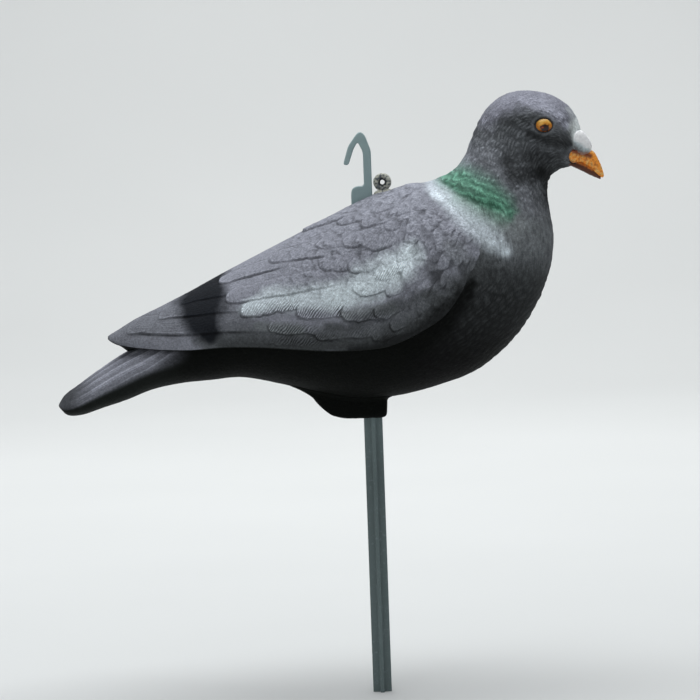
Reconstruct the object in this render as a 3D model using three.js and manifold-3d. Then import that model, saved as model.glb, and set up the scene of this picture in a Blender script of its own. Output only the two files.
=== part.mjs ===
// A moulded pigeon decoy on its ground stake, in millimetres with +Z up. The bird faces +X.
// The origin is on the stake's axis at ground level, where the stake is cut off flat.
import * as THREE from "three";
import { mergeVertices } from "three/addons/utils/BufferGeometryUtils.js";
import Module from "manifold-3d";

const wasm = await Module();
wasm.setup();

// Bird
const BIRD_LENGTH = 386; // tail tip to bill tip
const RELIEF = 1.5; // height of the tallest feather edge
const TAIL_RIDGE = 0.8; // height of the ridges along the tail
const EYE_SIZE = [11.5, 9.5]; // long and upright size of the eye
const EYE_DOME = 1.1; // how far the eye stands out
const BOSS_WIDTH = 26; // belly boss, side to side
const BOSS_ROUNDING = 3; // rounding of the boss edges
const EYELET_BORE = 4.5; // hole of the ring on the back
const EYELET_BAR = 3.9; // thickness of that ring
const EYELET_FOOT = 7; // length of its foot, along the bird
const TIP_NOTCH_LENGTH = 42; // gap between the two wing tips, along the bird
const TIP_NOTCH_WIDTH = 7; // the same gap across the bird, at the tips
const TIP_NOTCH_HEIGHT = 40; // the same gap, upwards
const TIP_NOTCH_FOOT = 6; // how far below the tips' upper edge the gap starts

// Stake
const STAKE_RISE = 194; // ground to the underside of the belly boss
const STAKE_WIDTH = 13; // across opposite ribs of the lower stake
const RIB_THICKNESS = 2.8;
const SOCKET_DEPTH = 45; // how far the ribbed part goes up into the boss
const SHAFT_WIDTH = 5.6; // upper shaft, along the bird
const SHAFT_THICKNESS = 5; // upper shaft, hook and tab, across the bird
const SHAFT_OFFSET = 2.1; // upper shaft's centre, forward of the stake's axis
const TAB_REACH = 9.2; // locking tab, back from the shaft
const TAB_HEIGHT = 7.5; // top of the tab above the bird's back
const TAB_DEPTH = 15; // how far the tab goes on down inside the bird
const TAB_ROUNDING = 4; // of the tab's upper rear corner
const HOOK_HEIGHT = 45; // top of the hook above the bird's back
const HOOK_DROP = 22; // top of the hook down to its tip
const HOOK_BEND = 13; // top of the hook down to where the shaft bends back
const HOOK_BEND_STEP = 1; // how much lower that bend is on the shaft's rear side
const HOOK_CROWN = 1; // how far the rounding of the hook's top goes down
const HOOK_APEX = 4.5; // shaft's centre back to the middle of the hook's top
const HOOK_REACH = 15; // shaft's centre to the centre of the hook's tip
const HOOK_ELBOW = [3.9, 11.4]; // from the hook's tip to the bend in its arm, forward and up
const HOOK_ARM_WIDTH = 3.8;
const EDGE_ROUNDING = 0.8; // rounded edges of the upper shaft, hook and tab
const CLEARANCE = 0.35; // gap between the stake and its passage, on every side
const OVERCUT = 10; // how far the cut for the passage starts below the boss

// The bird's free form is drawn in thousandths of its length, from the stake's axis and the boss underside.
const UNIT = BIRD_LENGTH / 1000;
const BODY_RINGS = 48;
const BODY_SIDES = 26;
const WING_RINGS = 58;
const WING_ROWS = 48; // steps of the wings' section that the feather rows are measured on

const BIRD_PAINT = new THREE.MeshStandardMaterial({ color: 0x5c5c64, roughness: 0.75, metalness: 0 });
const STAKE_PLASTIC = new THREE.MeshStandardMaterial({ color: 0x55636d, roughness: 0.45, metalness: 0 });

// Cross-section characters: height share of the widest line, then roundness of the upper and lower half.
const ROOF = [0.38, 1.6, 2.8];
const RUMP = [0.5, 2, 2.4];
const BODY = [0.46, 2.2, 2.2];
const NECK = [0.5, 2.1, 2.1];
const SKULL = [0.52, 2.3, 2];

// Stations from the tail to the face: x and z of the upper edge, x and z of the lower edge, half width.
const BODY_STATIONS = [
  [-567, 46, -567, 41, 34, ...ROOF],
  [-564, 51, -563, 36, 52, ...ROOF],
  [-556, 61, -550, 24, 64, ...ROOF],
  [-533, 77, -524, 24, 70, ...ROOF],
  [-498, 101, -487, 35, 70, ...ROOF],
  [-448, 132, -443, 48, 67, ...ROOF],
  [-396, 157, -396, 65, 68, ...ROOF],
  [-340, 180, -344, 74, 76, ...RUMP],
  [-281, 205, -290, 78, 91, ...RUMP],
  [-218, 235, -233, 81, 107, ...RUMP],
  [-148, 272, -167, 67, 124, ...BODY],
  [-77, 315, -98, 49, 137, ...BODY],
  [-11, 355, -26, 35, 146, ...BODY],
  [52, 392, 47, 38, 151, ...BODY],
  [100, 416, 120, 54, 152, ...BODY],
  [133, 429, 192, 80, 149, ...BODY],
  [153, 437, 257, 131, 141, ...BODY],
  [167, 448, 303, 194, 128, ...NECK],
  [178, 462, 330, 259, 113, ...NECK],
  [186, 476, 338, 317, 99, ...NECK],
  [192, 491, 332, 368, 86, ...NECK],
  [199, 506, 329, 401, 74, ...NECK],
  [209, 528, 334, 422, 65, ...NECK],
  [226, 554, 349, 435, 61, ...SKULL],
  [253, 574, 362, 439, 59, ...SKULL],
  [284, 582, 371, 441, 57, ...SKULL],
  [316, 580, 377, 442, 53, ...SKULL],
  [347, 570, 380, 441, 46, ...SKULL],
  [371, 553, 382, 441, 37, ...SKULL],
  [384, 535, 384, 445, 29, ...SKULL],
  [391, 517, 387, 454, 21, ...SKULL],
  [393, 507, 389, 464, 13, ...SKULL],
];

// Wing pair, tip to shoulder: x, z of the back, z of the lower edge, half width, height share of the
// widest line, roundness.
const WING_STATIONS = [
  [-475, 167, 160, 10, 0.1, 1.6],
  [-468, 170, 155, 22, 0.1, 1.6],
  [-453, 178, 149, 32, 0.1, 1.6],
  [-424, 194, 144, 46, 0.12, 1.6],
  [-379, 214, 140, 66, 0.15, 1.6],
  [-324, 240, 139, 88, 0.2, 1.7],
  [-261, 272, 143, 109, 0.24, 1.8],
  [-195, 304, 142, 128, 0.28, 1.9],
  [-128, 336, 137, 146, 0.3, 2],
  [-62, 369, 133, 157, 0.32, 2],
  [5, 400, 135, 162, 0.34, 2.1],
  [42, 410, 142, 163, 0.36, 2.1],
  [87, 421, 161, 161, 0.38, 2.1],
  [133, 418, 190, 160, 0.4, 1.8],
  [166, 404, 232, 156, 0.4, 1.6],
  [190, 370, 272, 149, 0.4, 1.6],
  [203, 342, 292, 134, 0.4, 1.6],
  [209, 326, 302, 112, 0.4, 1.6],
];
const WING_TUCK = 0.95; // half width at the lower edge, as a share of the widest
const WING_RIM = 5; // height of the rounded lower rim
const WING_ARCH = 16; // rise of the wings' underside towards the midline

// Rows of feathers on each wing, from the lower edge up: girth of the row's lower boundary over the
// wing's lower edge, x of its rear end, length and depth of its scallops, lift as a share of RELIEF.
const FEATHER_ROWS = [
  [25, -439, 92, 4, 0.8],
  [53, -380, 66, 12, 1],
  [84, -337, 88, 6, 0.8],
  [130, -195, 56, 13, 0.9],
  [176, -150, 56, 12, 0.8],
  [220, -112, 45, 10, 0.7],
  [264, -62, 45, 9, 0.6],
];
const PRIMARIES = 3; // the lowest rows run on as the long blades of the wing tip
const BLADE_END = 85; // length over which a blade's edge curves up to its tip
const BLADES_MEET_SCALLOPS = [-270, -215]; // x over which the blades' straight edges turn into scallops
const BOUNDARY_STEP = 1.2; // width of the steep edge of a row
const ROW_START = 10; // length over which a row rises from its rear end
const ROW_BULGE = 0.55; // height at the middle of a wide row, as a share of its edge
const SCALLOP_FALL = 0.45; // share of the edge's height that each scallop loses towards its front
const ROWS_FADE = [95, 170]; // x over which the rows fade into the shoulder
// Rear edge of the coverts, which overlap the blades: girth and x.
const COVERTS_EDGE = [
  [0, -178],
  [24, -190],
  [45, -224],
  [70, -254],
  [110, -276],
  [400, -276],
];
const COVERTS_LIFT = 0.8; // as a share of RELIEF
const COVERTS_START = 8; // length over which their rear edge rises
const COVERTS_FADE = 130; // length over which that lift runs out forward

// A list of numbers at place t of a smooth curve through the rows.
function between(rows, t) {
  const i = Math.min(Math.floor(t), rows.length - 2);
  const f = t - i;
  const last = rows.length - 1;
  const [a, b, c, d] = [i - 1, i, i + 1, i + 2].map((k) => rows[THREE.MathUtils.clamp(k, 0, last)]);
  return b.map((at, k) => {
    const slope = c[k] - a[k];
    const bend = 2 * a[k] - 5 * at + 4 * c[k] - d[k];
    const twist = 3 * at - a[k] - 3 * c[k] + d[k];
    return at + 0.5 * f * (slope + f * (bend + f * twist));
  });
}

// Places along the stations, evenly spread.
function places(rows, count) {
  return Array.from({ length: count + 1 }, (_, i) => (i / count) * (rows.length - 1));
}

// Value of a line of [place, value] points at a place.
function along(line, place) {
  const i = Math.max(1, line.findIndex(([at]) => at >= place));
  const [[fromPlace, from], [toPlace, to]] = [line[i - 1], line[i]];
  return THREE.MathUtils.mapLinear(place, fromPlace, toPlace, from, to);
}

// Places along the stations at even steps of x, their first number.
function placesByX(rows, count) {
  const fine = places(rows, 400).map((t) => [between(rows, t)[0], t]);
  const first = rows[0][0];
  const last = rows[rows.length - 1][0];
  return places([0, 1], count).map((share) => along(fine, THREE.MathUtils.lerp(first, last, share)));
}

// A point of the bird from thousandths of its length, with y in the same unit.
function birdPoint(x, y, z) {
  return new THREE.Vector3(x * UNIT, y * UNIT, STAKE_RISE + z * UNIT);
}

// A solid from a geometry, whatever normals and texture coordinates it has.
function solid(geometry) {
  const bare = geometry.clone();
  bare.deleteAttribute("normal");
  bare.deleteAttribute("uv");
  const merged = mergeVertices(bare, 1e-4);
  return new wasm.Manifold(
    new wasm.Mesh({
      numProp: 3,
      vertProperties: merged.getAttribute("position").array,
      triVerts: new Uint32Array(merged.index.array),
    }),
  );
}

// A closed solid through rings of points, with a fan of triangles on each end. Each face between two
// rings is split along its shorter diagonal.
function loft(rings) {
  const sides = rings[0].length;
  const points = rings.flat();
  const faces = [];
  const at = (ring, side) => ring * sides + (side % sides);
  for (let ring = 0; ring < rings.length - 1; ring++) {
    for (let side = 0; side < sides; side++) {
      const [a, b] = [at(ring, side), at(ring, side + 1)];
      const [c, d] = [at(ring + 1, side + 1), at(ring + 1, side)];
      const even = points[a].distanceTo(points[c]) < points[b].distanceTo(points[d]);
      faces.push(...(even ? [a, c, b, a, d, c] : [a, d, b, b, d, c]));
    }
  }
  for (const [ring, turn] of [[0, 0], [rings.length - 1, 1]]) {
    const middle = points.length;
    const sum = rings[ring].reduce((total, p) => total.add(p), new THREE.Vector3());
    points.push(sum.divideScalar(sides));
    for (let side = 0; side < sides; side++) {
      faces.push(middle, at(ring, side + turn), at(ring, side + 1 - turn));
    }
  }
  const geometry = new THREE.BufferGeometry().setFromPoints(points);
  geometry.setIndex(faces);
  return solid(geometry);
}

// A flat outline in x and z, given thickness across the bird, with rounded edges.
function plate(outline, thickness, rounding) {
  const geometry = new THREE.ExtrudeGeometry(new THREE.Shape(outline), {
    depth: thickness - 2 * rounding,
    steps: 1,
    curveSegments: 6,
    bevelEnabled: true,
    bevelThickness: rounding,
    bevelSize: rounding,
    bevelOffset: -rounding,
    bevelSegments: 2,
  });
  geometry.translate(0, 0, rounding - thickness / 2);
  geometry.rotateX(Math.PI / 2);
  return solid(geometry);
}

// A box between two corners.
function block(low, high) {
  const size = high.map((v, i) => v - low[i]);
  const geometry = new THREE.BoxGeometry(...size);
  geometry.translate(...low.map((v, i) => v + size[i] / 2));
  return solid(geometry);
}

// A quarter of a rounded curve: how far out and how far up at an angle from the top.
function rounded(angle, roundness) {
  const power = 2 / roundness;
  return [Math.abs(Math.sin(angle)) ** power, Math.abs(Math.cos(angle)) ** power];
}

// Height of the ridges that run along the top of the tail, at place t of the body's stations.
function tailRidge(t) {
  const { smoothstep } = THREE.MathUtils;
  return (TAIL_RIDGE / UNIT) * smoothstep(t, 1, 3) * (1 - smoothstep(t, 6, 8));
}

// One ring of the body at place t of its stations.
function bodyRing(t) {
  const [topX, topZ, lowX, lowZ, half, widest, above, below] = between(BODY_STATIONS, t);
  return Array.from({ length: BODY_SIDES }, (_, i) => {
    const angle = (2 * Math.PI * i) / BODY_SIDES;
    const upper = Math.cos(angle) >= 0;
    const [out, up] = rounded(angle, upper ? above : below);
    const share = upper ? widest + (1 - widest) * up : widest * (1 - up);
    const side = Math.sign(Math.sin(angle)) * out;
    const ridge = upper && i % 2 ? tailRidge(t) : 0;
    return birdPoint(lowX + (topX - lowX) * share, half * side, lowZ + (topZ - lowZ) * share + ridge);
  });
}

// The wings' outline at a station, from the midline of the back to the lower edge, in even steps.
function wingOutline([, top, edge, half, widest, roundness], rows) {
  const middle = edge + (top - edge) * widest;
  const fine = [];
  for (let i = 0; i <= 40; i++) {
    const [out, up] = rounded((i / 40) * (Math.PI / 2), roundness);
    fine.push(new THREE.Vector2(half * out, middle + (top - middle) * up));
  }
  for (let i = 1; i <= 10; i++) {
    const down = i / 10;
    const inward = 1 - (1 - WING_TUCK) * down * down;
    fine.push(new THREE.Vector2(half * inward, middle + (edge - middle) * down));
  }
  const path = new THREE.CurvePath();
  fine.slice(1).forEach((p, i) => path.add(new THREE.LineCurve(fine[i], p)));
  return path.getSpacedPoints(rows);
}

// The wings' surface at a station: its girth, and a point of it raised by a height.
function wingSurface(station) {
  const outline = wingOutline(station, WING_ROWS);
  const step = outline[0].distanceTo(outline[1]);
  const at = (girth, height) => {
    const row = THREE.MathUtils.clamp(WING_ROWS - girth / step, 0, WING_ROWS - 0.001);
    const above = outline[Math.floor(row)];
    const below = outline[Math.floor(row) + 1];
    const outward = new THREE.Vector2(above.y - below.y, below.x - above.x).normalize();
    const level = above.clone().lerp(below, row % 1);
    return level.addScaledVector(outward, height / UNIT);
  };
  return { total: step * WING_ROWS, at };
}

// A row's lower boundary at x: its girth and the height of the feathers' edge over it, and whether the
// row is wide enough to bulge in the middle. Where rows would run past the back's midline they draw
// together just short of it.
function rowEdge(row, x, total) {
  const { clamp, lerp, smoothstep, euclideanModulo } = THREE.MathUtils;
  const [base, rear, length, depth, lift] = FEATHER_ROWS[row];
  const blade = row < PRIMARIES;
  const phase = euclideanModulo((x - rear) / length + (row % 2) / 2, 1);
  const start = smoothstep(x, rear, rear + ROW_START);
  const end = 1 - smoothstep(x, ...ROWS_FADE);
  const waved = blade ? smoothstep(x, ...BLADES_MEET_SCALLOPS) : start;
  const scallop = depth * waved * Math.sqrt(1 - (2 * phase - 1) ** 2);
  const forward = clamp((x - rear) / BLADE_END, 0, 1);
  const curl = blade ? 1 - Math.sqrt(forward * (2 - forward)) : 0;
  const highest = total * (0.8 + (0.17 * row) / FEATHER_ROWS.length);
  const girth = Math.min(lerp(base - scallop, total, curl), highest);
  const height = RELIEF * lift * start * end * (1 - SCALLOP_FALL * phase);
  return { girth, height, wide: row >= PRIMARIES - 1 };
}

// Extra height of the coverts where their rear edge overlaps the blades.
function covertHeight(x, girth) {
  const edge = along(COVERTS_EDGE, girth);
  const start = THREE.MathUtils.smoothstep(x, edge, edge + COVERTS_START);
  const end = 1 - THREE.MathUtils.smoothstep(x, edge, edge + COVERTS_FADE);
  return RELIEF * COVERTS_LIFT * start * end;
}

// Girths and heights of the feather rows at x, from the back's midline down to the wing's lower edge.
function plumage(x, total) {
  const edges = FEATHER_ROWS.map((_, row) => rowEdge(row, x, total));
  const points = [[total, 0]];
  let top = total;
  for (const { girth, height, wide } of edges.reverse()) {
    const step = Math.min(BOUNDARY_STEP, (top - girth) / 4);
    if (wide) points.push([(top + girth) / 2, height * ROW_BULGE]);
    points.push([girth + step, height], [girth - step, 0]);
    top = girth - step;
  }
  points.push([0, 0]);
  const faded = THREE.MathUtils.smoothstep(x, ...ROWS_FADE);
  return points.map(([girth, height], i) => {
    const even = total * (1 - i / (points.length - 1));
    return [THREE.MathUtils.lerp(girth, even, faded), height + covertHeight(x, girth)];
  });
}

// One ring of the wing pair: over the back from edge to edge, then back along the underside.
function wingRing(t) {
  const station = between(WING_STATIONS, t);
  const [x, , edge, half] = station;
  const surface = wingSurface(station);
  const rightSide = plumage(x, surface.total).map(([girth, height]) => surface.at(girth, height));
  const rim = Math.min(WING_RIM, half / 3);
  const inner = half * WING_TUCK - rim;
  const under = [1, 0.5, 0].map((share) => {
    const rise = Math.min(WING_ARCH, (rightSide[0].y - edge) / 2) * (1 - share * share);
    return new THREE.Vector2(inner * share, edge + rise - rim * 0.4 * share);
  });
  const rightLoop = [...rightSide, ...under];
  const leftLoop = rightLoop.slice(1, -1).reverse().map((p) => new THREE.Vector2(-p.x, p.y));
  return [...rightLoop, ...leftLoop].map((p) => birdPoint(x, p.x, p.y));
}

// An ellipsoid placed in the bird's own units, turned in the side view.
const LUMP_SIDES = 12;
function lump(x, y, z, sizes, turn) {
  const geometry = new THREE.SphereGeometry(1, LUMP_SIDES, LUMP_SIDES / 2);
  geometry.scale(...sizes);
  geometry.rotateY(turn);
  const at = birdPoint(x, y, z);
  geometry.translate(at.x, at.y, at.z);
  return solid(geometry);
}

// Bill: x and z of its upper edge, x and z of its lower edge, half width.
const UPPER_BILL = [
  [366, 474, 362, 460, 13],
  [384, 472, 376, 452, 16],
  [402, 471, 390, 444, 16],
  [415, 466, 402, 436, 14],
  [420.5, 453, 411, 430.5, 11],
  [426, 440, 419, 425, 8],
  [430.5, 429, 425, 421, 4.5],
  [433, 420.5, 430, 418, 1.5],
];
const LOWER_BILL = [
  [362, 459, 364, 446, 13],
  [378, 449, 378, 438, 14],
  [396, 438.5, 394, 431, 12],
  [411, 429, 408, 424.5, 9],
  [421, 423, 419, 419.5, 5.5],
  [427, 419, 426, 416, 2],
];
const BILL_SIDES = 12;

function billLoft(stations) {
  return loft(
    places(stations, (stations.length - 1) * 2).map((t) => {
      const [topX, topZ, lowX, lowZ, half] = between(stations, t);
      return Array.from({ length: BILL_SIDES }, (_, i) => {
        const angle = (2 * Math.PI * i) / BILL_SIDES;
        const share = (1 + Math.cos(angle)) / 2;
        const side = half * Math.sin(angle);
        return birdPoint(lowX + (topX - lowX) * share, side, lowZ + (topZ - lowZ) * share);
      });
    }),
  );
}

// Two soft lobes at the root of the bill.
const CERE_PLACE = [396, 7, 483];
const CERE_SIZE = [25, 12, 13];
const CERE_SLOPE = 0.99; // of the lobes' long axis, below the level
function cere() {
  const [x, y, z] = CERE_PLACE;
  const lobe = (side) => lump(x, side * y, z, CERE_SIZE.map((size) => size * UNIT), CERE_SLOPE);
  return lobe(1).add(lobe(-1));
}

// Eyes, set on the widest line of the skull.
const EYE_PLACE = [324, 56, 518]; // x, the skull's half width there, and z
function eye(side) {
  const [x, y, z] = EYE_PLACE;
  const depth = 3 * EYE_DOME;
  const sizes = [EYE_SIZE[0] / 2, depth, EYE_SIZE[1] / 2];
  return lump(x, side * (y + (EYE_DOME - depth) / UNIT), z, sizes, 0);
}

// Belly boss that takes the stake.
const BOSS_OUTLINE = [
  [-190, 95],
  [-186, 74],
  [-110, 42],
  [-78, 8],
  [-70, 0],
  [20, 0],
  [26, 8],
  [28, 40],
  [60, 95],
];
function boss() {
  const outline = BOSS_OUTLINE.map(([x, z]) => new THREE.Vector2(x * UNIT, STAKE_RISE + z * UNIT));
  return plate(outline, BOSS_WIDTH, BOSS_ROUNDING);
}

// Ring on the back, its hole across the bird, on a short foot.
const EYELET_PLACE = [31.5, 425];
const EYELET_RADIUS = (EYELET_BORE + EYELET_BAR) / 2;
function eyelet() {
  const [x, z] = EYELET_PLACE;
  const at = birdPoint(x, 0, z);
  const ring = new THREE.TorusGeometry(EYELET_RADIUS, EYELET_BAR / 2, 8, 18);
  ring.rotateX(Math.PI / 2);
  ring.translate(at.x, at.y, at.z);
  const foot = block(
    [at.x - EYELET_FOOT / 2, -EYELET_BAR / 2, at.z - EYELET_RADIUS - 3 * EYELET_BAR],
    [at.x + EYELET_FOOT / 2, EYELET_BAR / 2, at.z - EYELET_RADIUS],
  );
  return solid(ring).add(foot);
}

// A thin wedge that parts the two wing tips.
function tipNotch() {
  const [tipX, backZ] = WING_STATIONS[0];
  const tip = birdPoint(tipX, 0, backZ);
  const half = TIP_NOTCH_WIDTH / 2;
  const outline = [
    new THREE.Vector2(tip.x - 1, -half),
    new THREE.Vector2(tip.x + TIP_NOTCH_LENGTH, 0),
    new THREE.Vector2(tip.x - 1, half),
  ];
  const geometry = new THREE.ExtrudeGeometry(new THREE.Shape(outline), {
    depth: TIP_NOTCH_HEIGHT,
    bevelEnabled: false,
  });
  geometry.translate(0, 0, tip.z - TIP_NOTCH_FOOT);
  return solid(geometry);
}

// Heights that the stake and its passage share.
const BACK_STATION = WING_STATIONS[10]; // beside the shaft
const BACK_Z = STAKE_RISE + BACK_STATION[1] * UNIT; // bird's back beside the shaft
const SHOULDER_Z = STAKE_RISE + SOCKET_DEPTH - CLEARANCE;
const HOOK_TOP = BACK_Z + HOOK_HEIGHT;
const SHAFT_FRONT = SHAFT_OFFSET + SHAFT_WIDTH / 2;
const SHAFT_REAR = SHAFT_OFFSET - SHAFT_WIDTH / 2;
const HOOK_REAR = SHAFT_OFFSET - HOOK_REACH - HOOK_ARM_WIDTH / 2;

// Ribbed socket in the boss, then a slot up through the back that lets the hook and tab pass.
function passage() {
  const below = STAKE_RISE - OVERCUT;
  const socket = new THREE.CylinderGeometry(
    STAKE_WIDTH / 2 + CLEARANCE,
    STAKE_WIDTH / 2 + CLEARANCE,
    STAKE_RISE + SOCKET_DEPTH - below,
    24,
  );
  socket.rotateX(Math.PI / 2);
  socket.translate(0, 0, (STAKE_RISE + SOCKET_DEPTH + below) / 2);
  const slot = block(
    [HOOK_REAR - CLEARANCE, -SHAFT_THICKNESS / 2 - CLEARANCE, below],
    [SHAFT_FRONT + CLEARANCE, SHAFT_THICKNESS / 2 + CLEARANCE, BACK_Z + TAB_HEIGHT],
  );
  return solid(socket).add(slot);
}

function bird() {
  const body = loft(places(BODY_STATIONS, BODY_RINGS).map(bodyRing));
  const wings = loft(placesByX(WING_STATIONS, WING_RINGS).map(wingRing));
  return body
    .add(wings.subtract(tipNotch()))
    .add(billLoft(UPPER_BILL))
    .add(billLoft(LOWER_BILL))
    .add(cere())
    .add(eye(1))
    .add(eye(-1))
    .add(boss())
    .add(eyelet())
    .subtract(passage());
}

// Lower stake: four ribs, up to the shoulder inside the boss.
function ribs() {
  const far = STAKE_WIDTH / 2;
  const near = RIB_THICKNESS / 2;
  const lengthwise = block([-far, -near, 0], [far, near, SHOULDER_Z]);
  const crosswise = block([-near, -far, 0], [near, far, SHOULDER_Z]);
  return lengthwise.add(crosswise);
}

// Side outline of the upper shaft with its tab and hook.
function shaftOutline() {
  const tabTop = BACK_Z + TAB_HEIGHT;
  const tabRear = SHAFT_REAR - TAB_REACH;
  const tabFoot = BACK_Z - TAB_DEPTH;
  const bend = HOOK_TOP - HOOK_BEND;
  const apex = SHAFT_OFFSET - HOOK_APEX;
  const half = HOOK_ARM_WIDTH / 2;
  const [tipX, tipZ] = [SHAFT_OFFSET - HOOK_REACH, HOOK_TOP - HOOK_DROP];
  const [elbowX, elbowZ] = [tipX + HOOK_ELBOW[0], tipZ + HOOK_ELBOW[1]];
  const shape = new THREE.Shape();
  shape.moveTo(SHAFT_FRONT, SHOULDER_Z - SHAFT_WIDTH);
  shape.lineTo(SHAFT_FRONT, bend);
  shape.lineTo(apex + SHAFT_WIDTH * 0.45, HOOK_TOP - HOOK_CROWN);
  shape.quadraticCurveTo(
    apex,
    HOOK_TOP + HOOK_CROWN * 0.4,
    apex - SHAFT_WIDTH * 0.4,
    HOOK_TOP - HOOK_CROWN,
  );
  shape.lineTo(elbowX - half, elbowZ + half / 2);
  shape.lineTo(tipX - half, tipZ);
  shape.lineTo(tipX + half, tipZ - half / 4);
  shape.lineTo(elbowX + half, elbowZ - half / 2);
  shape.lineTo(apex - SHAFT_WIDTH * 0.3, HOOK_TOP - SHAFT_WIDTH - HOOK_CROWN);
  shape.lineTo(SHAFT_REAR, bend - HOOK_BEND_STEP);
  shape.lineTo(SHAFT_REAR, tabTop);
  shape.lineTo(tabRear + TAB_ROUNDING, tabTop);
  shape.quadraticCurveTo(tabRear, tabTop, tabRear, tabTop - TAB_ROUNDING);
  shape.lineTo(tabRear, tabFoot);
  shape.lineTo(SHAFT_REAR, tabFoot - TAB_REACH);
  shape.lineTo(SHAFT_REAR, SHOULDER_Z - SHAFT_WIDTH);
  return shape.getPoints(4);
}

function stake() {
  return ribs().add(plate(shaftOutline(), SHAFT_THICKNESS, EDGE_ROUNDING));
}

// A named mesh of a solid.
function mesh(name, shape, material) {
  const { vertProperties, triVerts, numProp } = shape.getMesh();
  const geometry = new THREE.BufferGeometry();
  geometry.setAttribute("position", new THREE.BufferAttribute(vertProperties, numProp));
  geometry.setIndex(new THREE.BufferAttribute(triVerts, 1));
  geometry.computeVertexNormals();
  const made = new THREE.Mesh(geometry, material);
  made.name = name;
  return made;
}

const decoy = new THREE.Group();
decoy.name = "pigeon_decoy";
decoy.add(mesh("pigeon_body", bird(), BIRD_PAINT));
decoy.add(mesh("ground_stake", stake(), STAKE_PLASTIC));

export default decoy;
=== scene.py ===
"""Looks of a moulded and painted pigeon decoy on its ground stake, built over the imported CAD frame."""
import math

import bmesh
import bpy
import numpy as np
from mathutils import Matrix, Vector
from mathutils.bvhtree import BVHTree


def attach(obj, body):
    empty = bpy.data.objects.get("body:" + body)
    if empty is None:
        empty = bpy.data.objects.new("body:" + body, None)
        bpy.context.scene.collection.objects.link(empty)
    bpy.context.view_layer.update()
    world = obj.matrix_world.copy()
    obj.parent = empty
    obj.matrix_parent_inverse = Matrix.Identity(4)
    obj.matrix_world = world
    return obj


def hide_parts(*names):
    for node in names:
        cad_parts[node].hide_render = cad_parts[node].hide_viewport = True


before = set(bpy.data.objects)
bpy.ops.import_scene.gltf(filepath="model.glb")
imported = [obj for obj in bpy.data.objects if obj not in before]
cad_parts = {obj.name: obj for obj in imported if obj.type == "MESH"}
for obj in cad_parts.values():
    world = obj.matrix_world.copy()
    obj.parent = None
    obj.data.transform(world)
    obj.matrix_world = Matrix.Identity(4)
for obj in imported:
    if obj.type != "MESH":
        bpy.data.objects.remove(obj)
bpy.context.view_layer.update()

# The bird's free form is drawn in thousandths of its length, from the stake's axis and the boss underside.
MM = 0.001  # metres
UNIT = 0.386  # millimetres in a thousandth
STAKE_RISE = 194.0  # millimetres from the ground to the boss underside
# Details are placed in the side view: px of VIEW millimetres, turned by LEAN, from the view's upper left.
VIEW = 0.7
VIEW_X, VIEW_Y = 373.1, 417  # px, place of the boss underside on the stake's axis
LEAN = math.radians(2.03)

# Cross-section characters: height share of the widest line, then roundness of the upper and lower half.
ROOF = (0.38, 1.6, 2.8)
RUMP = (0.5, 2, 2.4)
BODY = (0.46, 2.2, 2.2)
NECK = (0.5, 2.1, 2.1)
SKULL = (0.52, 2.3, 2)

# Stations from the tail to the face: x and z of the upper edge, x and z of the lower edge, half width.
BODY_STATIONS = [
    (-567, 46, -567, 41, 34, *ROOF), (-564, 51, -563, 36, 52, *ROOF), (-556, 61, -550, 24, 64, *ROOF),
    (-533, 77, -524, 24, 70, *ROOF), (-498, 101, -487, 35, 70, *ROOF), (-448, 132, -443, 48, 67, *ROOF),
    (-396, 157, -396, 65, 68, *ROOF), (-340, 180, -344, 74, 76, *RUMP), (-281, 205, -290, 78, 91, *RUMP),
    (-218, 235, -233, 81, 107, *RUMP), (-148, 272, -167, 67, 124, *BODY), (-77, 315, -98, 49, 137, *BODY),
    (-11, 355, -26, 35, 146, *BODY), (52, 392, 47, 38, 151, *BODY), (100, 416, 120, 54, 152, *BODY),
    (133, 429, 192, 80, 149, *BODY), (153, 437, 257, 131, 141, *BODY), (167, 448, 303, 194, 128, *NECK),
    (178, 462, 330, 259, 113, *NECK), (186, 476, 338, 317, 99, *NECK), (192, 491, 332, 368, 86, *NECK),
    (199, 506, 329, 401, 74, *NECK), (209, 528, 334, 422, 65, *NECK), (226, 554, 349, 435, 61, *SKULL),
    (253, 574, 362, 439, 59, *SKULL), (284, 582, 371, 441, 57, *SKULL), (316, 580, 377, 442, 53, *SKULL),
    (347, 570, 380, 441, 46, *SKULL), (371, 553, 382, 441, 37, *SKULL), (384, 535, 384, 445, 29, *SKULL),
    (391, 517, 387, 454, 21, *SKULL), (393, 507, 389, 464, 13, *SKULL),
]
# Wing pair, tip to shoulder: x, z of the back, z of the lower edge, half width, height share of the
# widest line, roundness.
WING_STATIONS = [
    (-475, 167, 160, 10, 0.1, 1.6), (-468, 170, 155, 22, 0.1, 1.6), (-453, 178, 149, 32, 0.1, 1.6),
    (-424, 194, 144, 46, 0.12, 1.6), (-379, 214, 140, 66, 0.15, 1.6), (-324, 240, 139, 88, 0.2, 1.7),
    (-261, 272, 143, 109, 0.24, 1.8), (-195, 304, 142, 128, 0.28, 1.9), (-128, 336, 137, 146, 0.3, 2),
    (-62, 369, 133, 157, 0.32, 2), (5, 400, 135, 162, 0.34, 2.1), (42, 410, 142, 163, 0.36, 2.1),
    (87, 421, 161, 161, 0.38, 2.1), (133, 418, 190, 160, 0.4, 1.8), (166, 404, 232, 156, 0.4, 1.6),
    (190, 370, 272, 149, 0.4, 1.6), (203, 342, 292, 134, 0.4, 1.6), (209, 326, 302, 112, 0.4, 1.6),
]
WING_TUCK = 0.95  # width at the lower edge as a share of the widest
WING_RIM = 5  # thickness of the lower edge
WING_ARCH = 16  # rise of the hollow under the wing
TIP_BULGE = 11  # how far the underside of the wing tips hangs below their edge

RELIEF = 1.5  # millimetres, height of the tallest feather edge
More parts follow.
